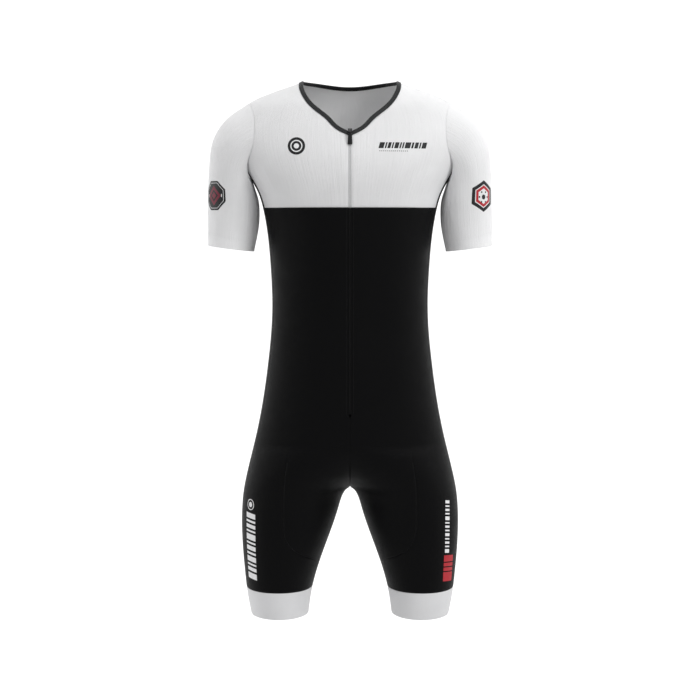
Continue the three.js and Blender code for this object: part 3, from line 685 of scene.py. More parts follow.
def smooth_through(knots, t):
    """Points at share t of smooth curves through the knots, spaced by the root of their distances."""
    before = 2 * knots[0] - knots[1]
    after = 2 * knots[-1] - knots[-2]
    run = np.concatenate([[before], knots, [after]])
    place = t * (len(knots) - 1)
    i = min(int(place), len(knots) - 2)
    w = place - i
    p0, p1, p2, p3 = run[i], run[i + 1], run[i + 2], run[i + 3]
    spans = ((p0, p1), (p1, p2), (p2, p3))
    d0, d1, d2 = (np.sqrt(np.linalg.norm(b - a, axis=1))[:, None] for a, b in spans)
    t1 = ((p1 - p0) / d0 - (p2 - p0) / (d0 + d1) + (p2 - p1) / d1) * d1
    t2 = ((p2 - p1) / d1 - (p3 - p1) / (d1 + d2) + (p3 - p2) / d2) * d1
    return p1 + t1 * w + (3 * (p2 - p1) - 2 * t1 - t2) * w**2 + (2 * (p1 - p2) + t1 + t2) * w**3


def clear_of_body(points, t):
    """Keeps the underside of the sleeve beside the body, a little further away towards the hem."""
    if t == 0:
        return points
    s = section(points[:, 2])
    reach = np.where(points[:, 1] < s["mid"], s["mid"] - s["front"], s["back"] - s["mid"])
    depth = np.abs(points[:, 1] - s["mid"]) / reach
    side = s["centre"] + s["half"] * np.clip(1 - depth ** s["square"], 0, 1) ** (1 / s["square"])
    least = side + ARMPIT_GAP * min(1, t / ARMPIT_GAP_SHARE)
    x = np.where(depth >= 1, points[:, 0], np.maximum(points[:, 0], least))
    return np.stack([x, points[:, 1], points[:, 2]], axis=1)


def sleeve_grid():
    line = armhole_line()
    tip, pit = surface(0.5, TIP_Z), surface(0.5, ARM_PIT_Z)
    centre, spoke = (tip + pit) / 2, (tip - pit) / 2
    spread = np.abs(line[:, 1] - centre[1]).max()
    angle = np.arctan2((centre[1] - line[:, 1]) / spread, (line - centre) @ spoke / (spoke @ spoke))
    knots = [line]
    for ring in SLEEVE_RINGS:
        reach = np.cos(angle) / 2
        x = (ring["ridge_x"] + ring["pit_x"]) / 2 + (ring["ridge_x"] - ring["pit_x"]) * reach
        z = (ring["ridge_z"] + ring["pit_z"]) / 2 + (ring["ridge_z"] - ring["pit_z"]) * reach
        knots.append(np.stack([x, ring["mid"] - ring["depth"] * np.sin(angle), z], axis=1))
    knots = np.stack(knots)
    fine = np.stack([clear_of_body(smooth_through(knots, t), t) for t in SLEEVE_SHARES])
    longest = max((run_length(fine[:, c]) for c in range(fine.shape[1])), key=lambda run: run[-1])
    wanted = np.interp(spaced(longest[-1]) * longest[-1], longest, SLEEVE_SHARES)
    rows = np.stack([clear_of_body(smooth_through(knots, t), t) for t in wanted])
    return rows[::-1]


HEM_FOLD, HEM_FOLD_EDGE, HEM_EXTRA = 18, 3, 0.7  # the turned hem is this high and this much thicker


def hem_thickness(grid, edge):
    """The cloth is double where its hem is turned in, with a soft step."""
    distance = edge_distances(grid)[edge]
    return HEM_EXTRA / (1 + np.exp((distance - HEM_FOLD) / (HEM_FOLD_EDGE / 4)))


sleeve_points = sleeve_grid()
for side, mirrored in SIDES.items():
    cloth(
        f"sleeve_cloth_{side}",
        sleeve_points,
        dict(bottom=0.6),
        on_body=False,
        thicker=hem_thickness(sleeve_points, "top"),
        mirrored=mirrored,
    )

# %% [markdown]
# ## The leg bands
# A broad elastic band ends each leg. It is thicker than the knit and holds the leg, and the
# band's own edges are rounded. One grid runs round the whole leg:
# over the thigh from its inside to the side, then over the back.

# %% Leg bands
BAND_THICK = 1.5
BAND_PINCH = 0.5  # how far the elastic draws in at its hem, in mm


def band_grid():
    z, front = thigh_grid(BAND_Z, HEM_Z)
    start = side_back(z)
    width = run_length(surface(np.linspace(start[0], 1, COARSE), BAND_Z))[-1]
    shares = np.linspace(0, 1, round(width / CELL) + 1)[1:]
    back = surface(start[:, None] + (1 - start)[:, None] * shares, z[:, None])
    return np.concatenate([front, back], axis=1)


band_points = band_grid()
for side, mirrored in SIDES.items():
    edges = dict(top=1, bottom=BAND_PINCH)
    cloth(f"leg_band_cloth_{side}", band_points, edges, thickness=BAND_THICK, mirrored=mirrored)

# %% [markdown]
# ## The neck binding
# A strip of cloth is folded over the raw edge of the neckline and sewn down. Its section is a
# narrow U, so the grid has the neckline's path for its rows and the U for its columns. Walking over
# the form, and not straight through space, keeps the strip the same width all round.

# %% Walking over the form
U_STEP = 0.002


def form_frame(u, z):
    """Directions of growing u and z on the form, and straight out of it."""
    along_u = (surface(u + U_STEP, z) - surface(u - U_STEP, z)) / (2 * U_STEP)
    along_z = (surface(u, z + 1) - surface(u, z - 1)) / 2
    out = np.cross(along_u, along_z)
    return along_u, along_z, out / np.linalg.norm(out, axis=-1, keepdims=True)


def dot(a, b):
    return (a * b).sum(-1)


def step_over(u, z, direction, distance):
    """Walks a distance over the form in the given direction and returns the new u and z."""
    along_u, along_z, _ = form_frame(u, z)
    uu, uz, zz = dot(along_u, along_u), dot(along_u, along_z), dot(along_z, along_z)
    du, dz = dot(along_u, direction), dot(along_z, direction)
    scale = distance / (uu * zz - uz * uz)
    return u + (du * zz - dz * uz) * scale, z + (dz * uu - du * uz) * scale


# %% The folded strip
BINDING_SECTION = [  # across the strip from the cloth's edge towards the neck, and out of the form
    (-0.9, 0.55),
    (-0.7, 0.85),
    (0.4, 0.95),
    (1.3, 0.62),
    (2.2, 0.95),
    (4.0, 1.1),
    (5.6, 0.95),
    (6.6, 0.45),
    (7.0, -0.4),
    (6.6, -1.25),
    (5.6, -1.75),
    (3.4, -1.9),
    (1.2, -1.9),
    (-0.9, -1.85),
]
BINDING_STEP = 2.4
ZIP_ROOM = 3.0  # the binding stops this far from the middle, beside the zip
BINDING_THICK = 0.5


def neckline_path():
    """u and z along the neckline, from the zip over the shoulder to the middle of the back."""
    z_front = np.linspace(NECK_POINT_Z, SHOULDER_Z, FINE)
    z_back = SHOULDER_Z - (SHOULDER_Z - BACK_NECK_Z) * np.linspace(0, 1, 200)[1:] ** 1.5
    u = np.concatenate([centre_front(z_front), centre_back(z_back)])
    z = np.concatenate([z_front, z_back])
    walked = run_length(surface(u, z))
    even = np.linspace(0, walked[-1], round(walked[-1] / BINDING_STEP) + 1)
    return np.interp(even, walked, u), np.interp(even, walked, z)


def binding_grid():
    u, z = neckline_path()
    line = surface(u, z)
    along = np.gradient(line, axis=0)
    along[-1] = (-1, 0, 0)
    along /= np.linalg.norm(along, axis=1, keepdims=True)
    out = form_frame(u, z)[2]
    inwards = np.cross(out, along)
    inwards /= np.linalg.norm(inwards, axis=1, keepdims=True)
    columns = []
    for distance, height in BINDING_SECTION:
        next_u, next_z = step_over(u, z, inwards, distance)
        point = surface(next_u, next_z)
        blocked = (next_u < 0.5) & ((next_u < 0) | (point[:, 0] < ZIP_ROOM))
        point = np.where(blocked[:, None], surface(across(ZIP_ROOM, next_z), next_z), point)
        point[-1, 0] = 0
        columns.append(point + out * height)
    half = np.stack(columns, axis=1)
    return np.concatenate([half, half[-2::-1] * np.array([-1, 1, 1])])


cloth("neck_binding_cloth", binding_grid(), {}, thickness=BINDING_THICK, bulge=0.15, on_body=False)

# %% [markdown]
# ## The zip
# The teeth are turned inwards, so from the front only two narrow tapes show, with a fine groove
# where they meet. White tape runs down the yoke and black tape down the body; the white tape and its
# teeth are painted grey, as painted shade of the recessed groove. Behind the groove
# lies the coil: hundreds of equal teeth, which is work for Geometry Nodes.

# %% Zip tapes
ZIP_TOP_Z = -60.5
TAPE_SECTION = [(2.75, -0.95), (2.7, -0.25), (1.9, -0.1), (0.8, -0.05), (0.38, -0.3), (0.3, -1.0)]
TAPE_THICK = 0.5
TAPE_CELL = 3.0
COIL_DEPTH = 1.15


def front_middle(z):
    """Points of the form's front middle line, and the direction out of it."""
    slope = (SECTIONS["front"](z + 1) - SECTIONS["front"](z - 1)) / 2
    out = np.stack([0 * z, -np.ones_like(z), slope], axis=1)
    return surface(across(0.0, z), z), out / np.linalg.norm(out, axis=1, keepdims=True)


def tape_grid(top, bottom):
    z = np.linspace(top, bottom, round((top - bottom) / TAPE_CELL) + 1)
    middle, out = front_middle(z)
    columns = [middle + out * high + np.array([x, 0, 0]) for x, high in reversed(TAPE_SECTION)]
    return np.stack(columns, axis=1)


COLOUR_GAP, END_ROOM = 0.3, 0.6  # how far a tape stops from the colour line and from the zip's end
TAPES = {
    "white": (ZIP_TOP_Z, COLOUR_LINE_Z + COLOUR_GAP),
    "black": (COLOUR_LINE_Z - COLOUR_GAP, ZIP_END_Z + END_ROOM),
}
for colour, (top, bottom) in TAPES.items():
    for side, mirrored in SIDES.items():
        tape = tape_grid(top, bottom)
        cloth(f"zip_tape_{colour}_{side}", tape, {}, TAPE_THICK, mirrored=mirrored, bulge=0, on_body=False)

# %% Geometry Nodes helpers


def node(tree, kind, *links, **values):
    """Adds a node. links are (input, source socket) pairs; values set the node's own settings."""
    made = tree.nodes.new(kind)
    for key, value in values.items():
        setattr(made, key, value)
    for socket, source in links:
        target = made.inputs[socket]
        if isinstance(source, bpy.types.NodeSocket):
            tree.links.new(source, target)
        else:
            target.default_value = source
    return made


def new_tree(name, inputs):
    """An empty Geometry Nodes tree with named number inputs after its geometry."""
    tree = bpy.data.node_groups.new(name, "GeometryNodeTree")
    tree.interface.new_socket("Geometry", in_out="INPUT", socket_type="NodeSocketGeometry")
    for label, default in inputs.items():
        kind = "NodeSocketInt" if isinstance(default, int) else "NodeSocketFloat"
        tree.interface.new_socket(label, in_out="INPUT", socket_type=kind).default_value = default
    tree.interface.new_socket("Geometry", in_out="OUTPUT", socket_type="NodeSocketGeometry")
    return tree, tree.nodes.new("NodeGroupInput"), tree.nodes.new("NodeGroupOutput")


def grow(name, source, tree, sizes):
    """Runs a tree on an object, sets its inputs by identifier and returns a plain mesh object."""
    modifier = source.modifiers.new(name, "NODES")
    modifier.node_group = tree
    for item in tree.interface.items_tree:
        if item.in_out == "INPUT" and item.name in sizes:
            modifier[item.identifier] = sizes[item.name]
    mesh = with_modifiers(source)
    mesh.name = name
    source.modifiers.remove(modifier)
    bpy.data.objects.remove(source)
    mesh.shade_smooth()
    print(f"{name}: {len(mesh.polygons)} faces")
    return placed(name, mesh)


def path_object(name, lines):
    """One mesh of open lines. Each line is (points, outward directions) in mm."""
    vertices = np.concatenate([points for points, _ in lines]) * MM
    outs = np.concatenate([out for _, out in lines])
    edges, start = [], 0
    for points, _ in lines:
        edges += [(start + i, start + i + 1) for i in range(len(points) - 1)]
        start += len(points)
    mesh = bpy.data.meshes.new(name)
    mesh.from_pydata(vertices.tolist(), edges, [])
    attribute = mesh.attributes.new("outwards", "FLOAT_VECTOR", "POINT")
    attribute.data.foreach_set("vector", outs.reshape(-1).astype(np.float32))
    return placed(name, mesh)


# %% A row of small rounded beads along lines: threads and zip teeth


def bead_row_tree(name, material):
    """Places a stretched bead at even steps along each line, upright on the cloth."""
    tree, given, result = new_tree(
        name, {"Pitch": 0.003, "Length": 0.0023, "Width": 0.0005, "Height": 0.0004, "Sides": 6, "Rings": 4}
    )
    line = node(tree, "GeometryNodeMeshToCurve", ("Mesh", given.outputs["Geometry"]))
    even = node(
        tree,
        "GeometryNodeResampleCurve",
        ("Curve", line.outputs["Curve"]),
        ("Length", given.outputs["Pitch"]),
        mode="LENGTH",
    )
    bead = node(
        tree,
        "GeometryNodeMeshUVSphere",
        ("Segments", given.outputs["Sides"]),
        ("Rings", given.outputs["Rings"]),
        ("Radius", 0.5),
    )
    size = node(
        tree,
        "ShaderNodeCombineXYZ",
        ("X", given.outputs["Length"]),
        ("Y", given.outputs["Width"]),
        ("Z", given.outputs["Height"]),
    )
    outwards = node(tree, "GeometryNodeInputNamedAttribute", ("Name", "outwards"), data_type="FLOAT_VECTOR")
    tangent = node(tree, "GeometryNodeInputTangent")
    turn = node(
        tree,
        "FunctionNodeAxesToRotation",
        ("Primary Axis", outwards.outputs["Attribute"]),
        ("Secondary Axis", tangent.outputs["Tangent"]),
        primary_axis="Z",
        secondary_axis="X",
    )
    placed = node(
        tree,
        "GeometryNodeInstanceOnPoints",
        ("Points", even.outputs["Curve"]),
        ("Instance", bead.outputs["Mesh"]),
        ("Rotation", turn.outputs["Rotation"]),
        ("Scale", size.outputs["Vector"]),
    )
    real = node(tree, "GeometryNodeRealizeInstances", ("Geometry", placed.outputs["Instances"]))
    painted = node(
        tree, "GeometryNodeSetMaterial", ("Geometry", real.outputs["Geometry"]), ("Material", material)
    )
    tree.links.new(painted.outputs["Geometry"], result.inputs["Geometry"])
    return tree


# %% [markdown]
# ## Finishes
# Every finish is a tree of shader nodes. What several of them share is a node group: the knit's
# tiny loops, fine upright streaks in the white cloth, and a slow unevenness of the dye. The streaks
# raise fine ribs in the bump and also paint the ribs' shade into the white's colour. Patterns
# that follow the cloth read the piece's own UV map, others read Object coordinates.

# %% Shared node groups


def shader_group(name, inputs, output):
    """An empty group of shader nodes with named number inputs and one number output."""
    tree = bpy.data.node_groups.new(name, "ShaderNodeTree")
    for label, default in inputs.items():
        socket = tree.interface.new_socket(label, in_out="INPUT", socket_type="NodeSocketFloat")
        socket.default_value = default
    tree.interface.new_socket(output, in_out="OUTPUT", socket_type="NodeSocketFloat")
    return tree, tree.nodes.new("NodeGroupInput"), tree.nodes.new("NodeGroupOutput")


def maths(tree, operation, a, b=0.0, c=0.0):
    """One Math node, as the socket of its result."""
    made = node(tree, "ShaderNodeMath", (0, a), (1, b), (2, c), operation=operation)
    return made.outputs["Value"]


def knit_group():
    """Height of a fine jersey: upright wales, each a row of V-shaped loops."""
    tree, given, result = shader_group("knit loops", {"Wale": 0.0008, "Course": 0.0006}, "Height")
    place = node(tree, "ShaderNodeUVMap", uv_map="grain")
    split = node(tree, "ShaderNodeSeparateXYZ", ("Vector", place.outputs["UV"]))
    wale = maths(tree, "DIVIDE", split.outputs["X"], given.outputs["Wale"])
    slant = maths(tree, "PINGPONG", wale, 0.5)
    course = maths(tree, "DIVIDE", split.outputs["Y"], given.outputs["Course"])
    loop = maths(tree, "SINE", maths(tree, "MULTIPLY", maths(tree, "ADD", course, slant), 2 * math.pi))
    height = maths(tree, "MULTIPLY_ADD", loop, 0.3, maths(tree, "MULTIPLY", slant, 1.4))
    tree.links.new(height, result.inputs["Height"])
    return tree


def streak_group():
    """Fine upright streaks along the grain, from -1 to 1."""
    tree, given, result = shader_group("upright streaks", {"Pitch": 0.003, "Run": 0.12}, "Streak")
    place = node(tree, "ShaderNodeUVMap", uv_map="grain")
    split = node(tree, "ShaderNodeSeparateXYZ", ("Vector", place.outputs["UV"]))
    side = maths(tree, "DIVIDE", split.outputs["X"], given.outputs["Pitch"])
    down = maths(tree, "DIVIDE", split.outputs["Y"], given.outputs["Run"])
    where = node(tree, "ShaderNodeCombineXYZ", ("X", side), ("Y", down))
    noise = [("Vector", where.outputs["Vector"]), ("Scale", 1.0), ("Detail", 2.0), ("Roughness", 0.6)]
    cloud = node(tree, "ShaderNodeTexNoise", *noise)
    spread = maths(tree, "MULTIPLY_ADD", cloud.outputs["Fac"], 2.0, -1.0)
    tree.links.new(spread, result.inputs["Streak"])
    return tree


def dye_group():
    """A slow unevenness between a low and a high value."""
    tree, given, result = shader_group("uneven dye", {"Scale": 14.0, "Low": 0.97, "High": 1.03}, "Value")
    place = node(tree, "ShaderNodeTexCoord")
    cloud = node(
        tree,
        "ShaderNodeTexNoise",
        ("Vector", place.outputs["Object"]),
        ("Scale", given.outputs["Scale"]),
        ("Detail", 3.0),
    )
    span = node(
        tree,
        "ShaderNodeMapRange",
        ("Value", cloud.outputs["Fac"]),
        ("From Min", 0.3),
        ("From Max", 0.7),
        ("To Min", given.outputs["Low"]),
        ("To Max", given.outputs["High"]),
    )
    tree.links.new(span.outputs["Result"], result.inputs["Value"])
    return tree


KNIT, RIB_RELIEF_AND_SHADE, DYE = knit_group(), streak_group(), dye_group()


# %% Cloth, thread, ink and metal finishes


def grouped(tree, group, **values):
    """Puts a node group into a material, sets its inputs and returns its output."""
    made = tree.nodes.new("ShaderNodeGroup")
    made.node_tree = group
    for label, value in values.items():
        made.inputs[label].default_value = value
    return made.outputs[0]


def new_finish(name, **sockets):
    """A material with a Principled shader whose plain values are set on its own sockets."""
    material = bpy.data.materials.new(name)
    material.use_nodes = True
    tree = material.node_tree
    shader = tree.nodes["Principled BSDF"]
    for label, value in sockets.items():
        shader.inputs[label.replace("_", " ")].default_value = value
    return material, tree, shader


def coloured(tree, shader, colour, share):
    """The base colour times a changing share."""
    mixed = node(tree, "ShaderNodeVectorMath", (0, colour), ("Scale", share), operation="SCALE")
    tree.links.new(mixed.outputs["Vector"], shader.inputs["Base Color"])


def raised(tree, shader, height, distance, strength=1.0):
    bump = node(tree, "ShaderNodeBump", ("Height", height), ("Distance", distance), ("Strength", strength))
    tree.links.new(bump.outputs["Normal"], shader.inputs["Normal"])


def cloth_finish(name, colour, roughness, streak=0.0, depth=0.00012, wale=0.0008, course=0.0006, **sockets):
    material, tree, shader = new_finish(name, **sockets)
    streaks = grouped(tree, RIB_RELIEF_AND_SHADE)
    # The colour share is the dye's random unevenness plus, on the white knit, painted shade of the upright
    # ribs; the same streaks raise the ribs in the bump.
    share = maths(tree, "MULTIPLY_ADD", streaks, streak, grouped(tree, DYE))
    coloured(tree, shader, colour, share)
    loops = grouped(tree, KNIT, Wale=wale, Course=course)
    raised(tree, shader, maths(tree, "MULTIPLY_ADD", streaks, 4 * streak / 0.02, loops), depth)
    rough = grouped(tree, DYE, Scale=40.0, Low=roughness - 0.04, High=roughness + 0.04)
    tree.links.new(rough, shader.inputs["Roughness"])
    return material


THIN_CLOTH = dict(  # light comes through white jersey
    Specular_IOR_Level=0.3, Subsurface_Weight=0.5, Subsurface_Scale=0.004, Subsurface_Radius=(1, 1, 1)
)
white_cloth = cloth_finish("white knit", (0.84, 0.84, 0.85), 0.75, streak=0.02, **THIN_CLOTH)
black_cloth = cloth_finish(
    "black knit", (0.0026, 0.0026, 0.0029), 0.46, depth=0.0001, Specular_IOR_Level=0.06
)
band_cloth = cloth_finish(
    "white elastic", (0.7, 0.7, 0.71), 0.7, wale=0.0016, course=0.0011, Specular_IOR_Level=0.3
)
binding_cloth = cloth_finish("charcoal binding", (0.009, 0.0095, 0.0105), 0.45, Specular_IOR_Level=0.3)
# The white tape is greyer than the white knit: painted shade of the zip's recessed band.
white_tape_painted_shade = cloth_finish("white zip tape with painted shade", (0.6, 0.6, 0.61), 0.7, wale=0.0012, course=0.0005)
tape_black = cloth_finish(
    "black zip tape", (0.003, 0.003, 0.0033), 0.5, wale=0.0012, course=0.0005, Specular_IOR_Level=0.08
)


def thread_finish(name, colour):
    material, tree, shader = new_finish(name, Specular_IOR_Level=0.35)
    coloured(tree, shader, colour, grouped(tree, DYE, Scale=900.0, Low=0.85, High=1.1))
    rough = grouped(tree, DYE, Scale=500.0, Low=0.5, High=0.7)
    tree.links.new(rough, shader.inputs["Roughness"])
    return material


white_thread = thread_finish("white thread", (0.8, 0.8, 0.81))
black_thread = thread_finish("black thread", (0.009, 0.009, 0.01))
charcoal_thread = thread_finish("charcoal thread", (0.025, 0.026, 0.028))
# The white teeth are mid grey: painted shade of the groove that they lie behind.
white_teeth_painted_shade = thread_finish("white nylon teeth with painted groove shade", (0.3, 0.3, 0.31))
black_nylon = thread_finish("black nylon teeth", (0.006, 0.006, 0.0065))


def ink_finish(name, colour):
    """Print that has soaked into the knit, so that the loops still show through."""
    material, tree, shader = new_finish(name, Specular_IOR_Level=0.35)
    coloured(tree, shader, colour, grouped(tree, DYE, Scale=220.0, Low=0.93, High=1.05))
    place = node(tree, "ShaderNodeTexCoord")
    grain = node(
        tree, "ShaderNodeTexNoise", ("Vector", place.outputs["Object"]), ("Scale", 1400.0), ("Detail", 2.0)
    )
    raised(tree, shader, grain.outputs["Fac"], 0.00008)
    tree.links.new(grouped(tree, DYE, Scale=60.0, Low=0.5, High=0.62), shader.inputs["Roughness"])
    return material


black_ink = ink_finish("black print", (0.008, 0.008, 0.009))
white_ink = ink_finish("white print", (0.78, 0.78, 0.79))
red_ink = ink_finish("red print", (0.42, 0.012, 0.022))
dark_red_ink = ink_finish("dark red print", (0.16, 0.01, 0.028))


def slider_finish():
    """Black enamel on cast metal, a little worn and uneven."""
    material, tree, shader = new_finish("black enamel", Metallic=0.2, Specular_IOR_Level=0.4)
    coloured(tree, shader, (0.007, 0.007, 0.008), grouped(tree, DYE, Scale=300.0, Low=0.7, High=1.6))
    tree.links.new(grouped(tree, DYE, Scale=420.0, Low=0.28, High=0.46), shader.inputs["Roughness"])
    place = node(tree, "ShaderNodeTexCoord")
    cast = node(tree, "ShaderNodeTexNoise", ("Vector", place.outputs["Object"]), ("Scale", 1800.0))
    raised(tree, shader, cast.outputs["Fac"], 0.00004)
    return material


enamel = slider_finish()
print("finishes:", len(bpy.data.materials))

# %% [markdown]
# ## Stitches and teeth
# Every seam of such a suit is sewn with two rows of thread, one on each side. The rows follow the
# grid lines of the cloth, two millimetres from the seam, so the thread lies exactly on the cloth.

# %% Lines of thread
SEAM_LINE = 3  # the grid line that lies two millimetres from an edge, see SEAM_STEPS
THREAD_PITCH, THREAD_LENGTH, THREAD_WIDTH, THREAD_HEIGHT = 0.0031, 0.0026, 0.00042, 0.00036
THREAD_LIFT = 0.05  # mm
TWIN = 2.4  # distance between the two rows on a hem, in mm
SLIDER_ROOM = 6  # the thread beside the zip starts this far below the neckline's point, in mm


def grid_line(name, edge, keep=None):
    """Points and directions of the grid line beside one edge of a piece."""
    skin = skins[name]
    if "right" in name and edge in ("first", "last"):
        edge = "last" if edge == "first" else "first"
    cut = {
        "top": np.s_[SEAM_LINE, :],
        "bottom": np.s_[-1 - SEAM_LINE, :],
        "first": np.s_[:, SEAM_LINE],
        "last": np.s_[:, -1 - SEAM_LINE],
    }[edge]
    points, out = skin["points"][cut], skin["out"][cut]
    points = points + out * THREAD_LIFT
    if keep is not None:
        kept = keep(points)
        points, out = points[kept], out[kept]
    return points, out


def hem_lines(name, heights):
    """Rows of thread round a tube at given distances from its hem."""
    skin = skins[name]
    down = edge_distances(skin["points"])["top"].mean(axis=1)
    lines = []
    for height in heights:
        r = int(np.clip(np.searchsorted(down, height), 1, len(down) - 1))
        w = (height - down[r - 1]) / (down[r] - down[r - 1])
        out = skin["out"][r]
        points = skin["points"][r - 1] * (1 - w) + skin["points"][r] * w + out * THREAD_LIFT
        lines.append((points, out))
    return lines


def below_slider(points):
    return points[:, 2] < NECK_POINT_Z - SLIDER_ROOM


def above_zip_end(points):
    return points[:, 2] > ZIP_END_Z


def below_hip(points):
    return points[:, 2] < HIP_Z - SEAM_FADE / 2


thread_lines = {"white": [], "black": []}
for side in SIDES:
    white, black = thread_lines["white"], thread_lines["black"]
    white.append(grid_line(f"yoke_front_{side}", "bottom"))
    white.append(grid_line(f"yoke_front_{side}", "last"))
    white.append(grid_line(f"yoke_front_{side}", "first", below_slider))
    white.append(grid_line("yoke_back", "first" if side == "left" else "last"))
    white.append(grid_line(f"sleeve_cloth_{side}", "bottom"))
    white += hem_lines(f"sleeve_cloth_{side}", [HEM_FOLD, HEM_FOLD + TWIN])
    white.append(grid_line(f"leg_band_cloth_{side}", "top"))
    black.append(grid_line(f"body_front_{side}", "top"))
    black.append(grid_line(f"body_front_{side}", "first", above_zip_end))
    black.append(grid_line(f"body_front_{side}", "last"))
    black.append(grid_line(f"body_crotch_{side}", "last", below_hip))
    black.append(grid_line(f"thigh_{side}", "first", below_hip))
    black.append(grid_line(f"thigh_{side}", "bottom"))
    for edge in EDGES:
        black.append(grid_line(f"body_back_{side}", edge))
thread_lines["white"].append(grid_line("yoke_back", "bottom"))
for colour, material in (("white", white_thread), ("black", black_thread)):
    tree = bead_row_tree(f"{colour} stitches", material)
    sizes = dict(Pitch=THREAD_PITCH, Length=THREAD_LENGTH, Width=THREAD_WIDTH, Height=THREAD_HEIGHT)
    sizes.update(Sides=5, Rings=3)
    lines = [line for line in thread_lines[colour] if len(line[0]) > 2]
    pieces[f"stitches_{colour}"] = grow(
        f"stitches_{colour}", path_object(f"{colour} seam lines", lines), tree, sizes
    )

# %% Thread on the binding and the coil behind the zip's groove
BINDING_THREAD_COLUMN, BINDING_THREAD_LIFT = 3, 0.1
points, out = (skins["neck_binding_cloth"][key][:, BINDING_THREAD_COLUMN] for key in ("points", "out"))
pieces["stitches_binding"] = grow(
    "stitches_binding",
    path_object("binding line", [(points + out * BINDING_THREAD_LIFT, out)]),
    bead_row_tree("binding stitches", charcoal_thread),
    dict(Pitch=0.0027, Length=0.0022, Width=0.00045, Height=0.0004, Sides=6, Rings=4),
)

COIL_TOP_Z = -75.0
COILS = {
    "white": (COIL_TOP_Z, COLOUR_LINE_Z + 0.5, white_teeth_painted_shade),
    "black": (COLOUR_LINE_Z - 1.0, ZIP_END_Z + 2, black_nylon),
}
for colour, (top, bottom, finish) in COILS.items():
    middle, out = front_middle(np.linspace(top, bottom, 200))
    pieces[f"zip_coil_{colour}"] = grow(
        f"zip_coil_{colour}",
        path_object(f"{colour} zip middle", [(middle - out * COIL_DEPTH, out)]),
        bead_row_tree(f"{colour} zip teeth", finish),
        dict(Pitch=0.0014, Length=0.0011, Width=0.0034, Height=0.0011, Sides=8, Rings=5),
    )

# %% [markdown]
# ## Slider and pull tab
# These two are hard metal, and the frame already has their true shape. Each is copied, welded from
# its loose triangles, and gets small bevels, so that its edges catch the light as real castings do.

# %% Bevelled copies of the metal parts
METAL_BEVEL = 0.00022


def bevelled(name, node_name):
    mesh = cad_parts[node_name].data.copy()
    mesh.name = name
    form = bmesh.new()
    form.from_mesh(mesh)
    bmesh.ops.remove_doubles(form, verts=form.verts, dist=1e-6)
    bmesh.ops.dissolve_limit(form, angle_limit=math.radians(2), verts=form.verts, edges=form.edges)
    form.to_mesh(mesh)
    form.free()
    piece = placed(name, mesh)
    bevel = piece.modifiers.new("soft edges", "BEVEL")
    bevel.width, bevel.segments, bevel.limit_method = METAL_BEVEL, 2, "ANGLE"
    bevel.angle_limit = math.radians(35)
    done = with_modifiers(piece)
    piece.modifiers.remove(bevel)
    piece.data = done
    done.shade_smooth()
    done.set_sharp_from_angle(angle=math.radians(40))
    print(f"{name}: {len(done.polygons)} faces")
    return piece


pieces["slider_metal"] = bevelled("slider_metal", "zip_slider")
pieces["pull_metal"] = bevelled("pull_metal", "zip_pull")

# %% [markdown]
# ## Prints
# The cloth carries plain printed marks: dots, bars and ticks of no meaning. Each is a thin film,
# laid on the cloth by casting every point of a small flat drawing onto the piece along one direction.
# A drawing is made of bars and round patches, each a little grid, so that it bends with the cloth.

# %% Small flat shapes, as grids of (right, up) in mm
PRINT_CELL = 2.0


def bar(x, z, width, height, lean=0.0):
    """An upright bar centred at x and z. lean shifts its top sideways."""
    across_count = max(1, math.ceil(width / PRINT_CELL))
    up_count = max(1, math.ceil(height / PRINT_CELL))
    a, b = np.meshgrid(np.linspace(-0.5, 0.5, across_count + 1), np.linspace(0.5, -0.5, up_count + 1))
    return np.stack([x + a * width + b * lean, z + b * height], axis=-1)


def round_patch(x, z, outer, inner=0.05, corners=0, turn=0.0):
    """A disc or a ring, or with corners a polygon, going round in its rows."""
    angle = np.linspace(0, 2 * np.pi, 61)[:, None]
    radius = np.linspace(inner, outer, max(1, math.ceil((outer - inner) / PRINT_CELL)) + 1)[None]
    if corners:
        half = np.pi / corners
        radius = radius * np.cos(half) / np.cos(angle % (2 * half) - half)
    return np.stack([x + radius * np.cos(angle + turn), z + radius * np.sin(angle + turn)], axis=-1)


def row_of_bars(widths, gap, height, length, lean=0.0, x=0.0, z=0.0):
    """Bars of given relative widths in a row that has the given length in all."""
    scale = (length - gap * (len(widths) - 1)) / sum(widths)
    shapes, at = [], x - length / 2
    for width in widths:
        shapes.append(bar(at + width * scale / 2, z, width * scale, height, lean))
        at += width * scale + gap
    return shapes


def stood_up(shapes):
    """The same shapes turned by a quarter, so that a row runs down a leg."""
    return [np.stack([shape[..., 1], -shape[..., 0]], axis=-1) for shape in shapes]


# %% Laying the shapes on the cloth
PRINT_FILM, PRINT_SUNK, RAY_START = 0.1, 0.12, 90.0
LAYER = 0.08  # each further colour lies this much higher


def print_on(name, target, centre, facing, shapes, ink, layer=0):
    """Lays flat shapes on a piece. facing is the level direction in which they are pressed on."""
    facing = np.array([facing[0], facing[1], 0.0])
    facing /= np.linalg.norm(facing)
    right, up = np.cross(facing, (0, 0, 1)), np.array([0, 0, 1.0])
    tree = skins[target]["tree"]
    top, low, all_rings, all_border, shift = [], [], [], [], 0
    for shape in shapes:
        _, flat, rings, _, border, _ = skin_of(np.insert(shape, 1, 0, axis=-1))
        for x, _, z in flat:
            start = Vector(np.array(centre) + right * x + up * z - facing * RAY_START)
            hit, out, _, _ = tree.ray_cast(start, Vector(facing))
            if hit is None:
                hit, out, _, _ = tree.find_nearest(start + Vector(facing) * RAY_START)
            top.append(hit + out * (PRINT_FILM + LAYER * layer))
            low.append(hit - out * PRINT_SUNK)
        all_rings += [[v + shift for v in ring] for ring in rings]
        all_border += [(a + shift, b + shift) for a, b in border]
        shift += len(flat)
    piece, _ = closed_shell(name, np.array(top), np.array(low), all_rings, all_border)
    piece.data.materials.append(ink)
    print(f"{name}: {len(shapes)} shapes")
    return piece


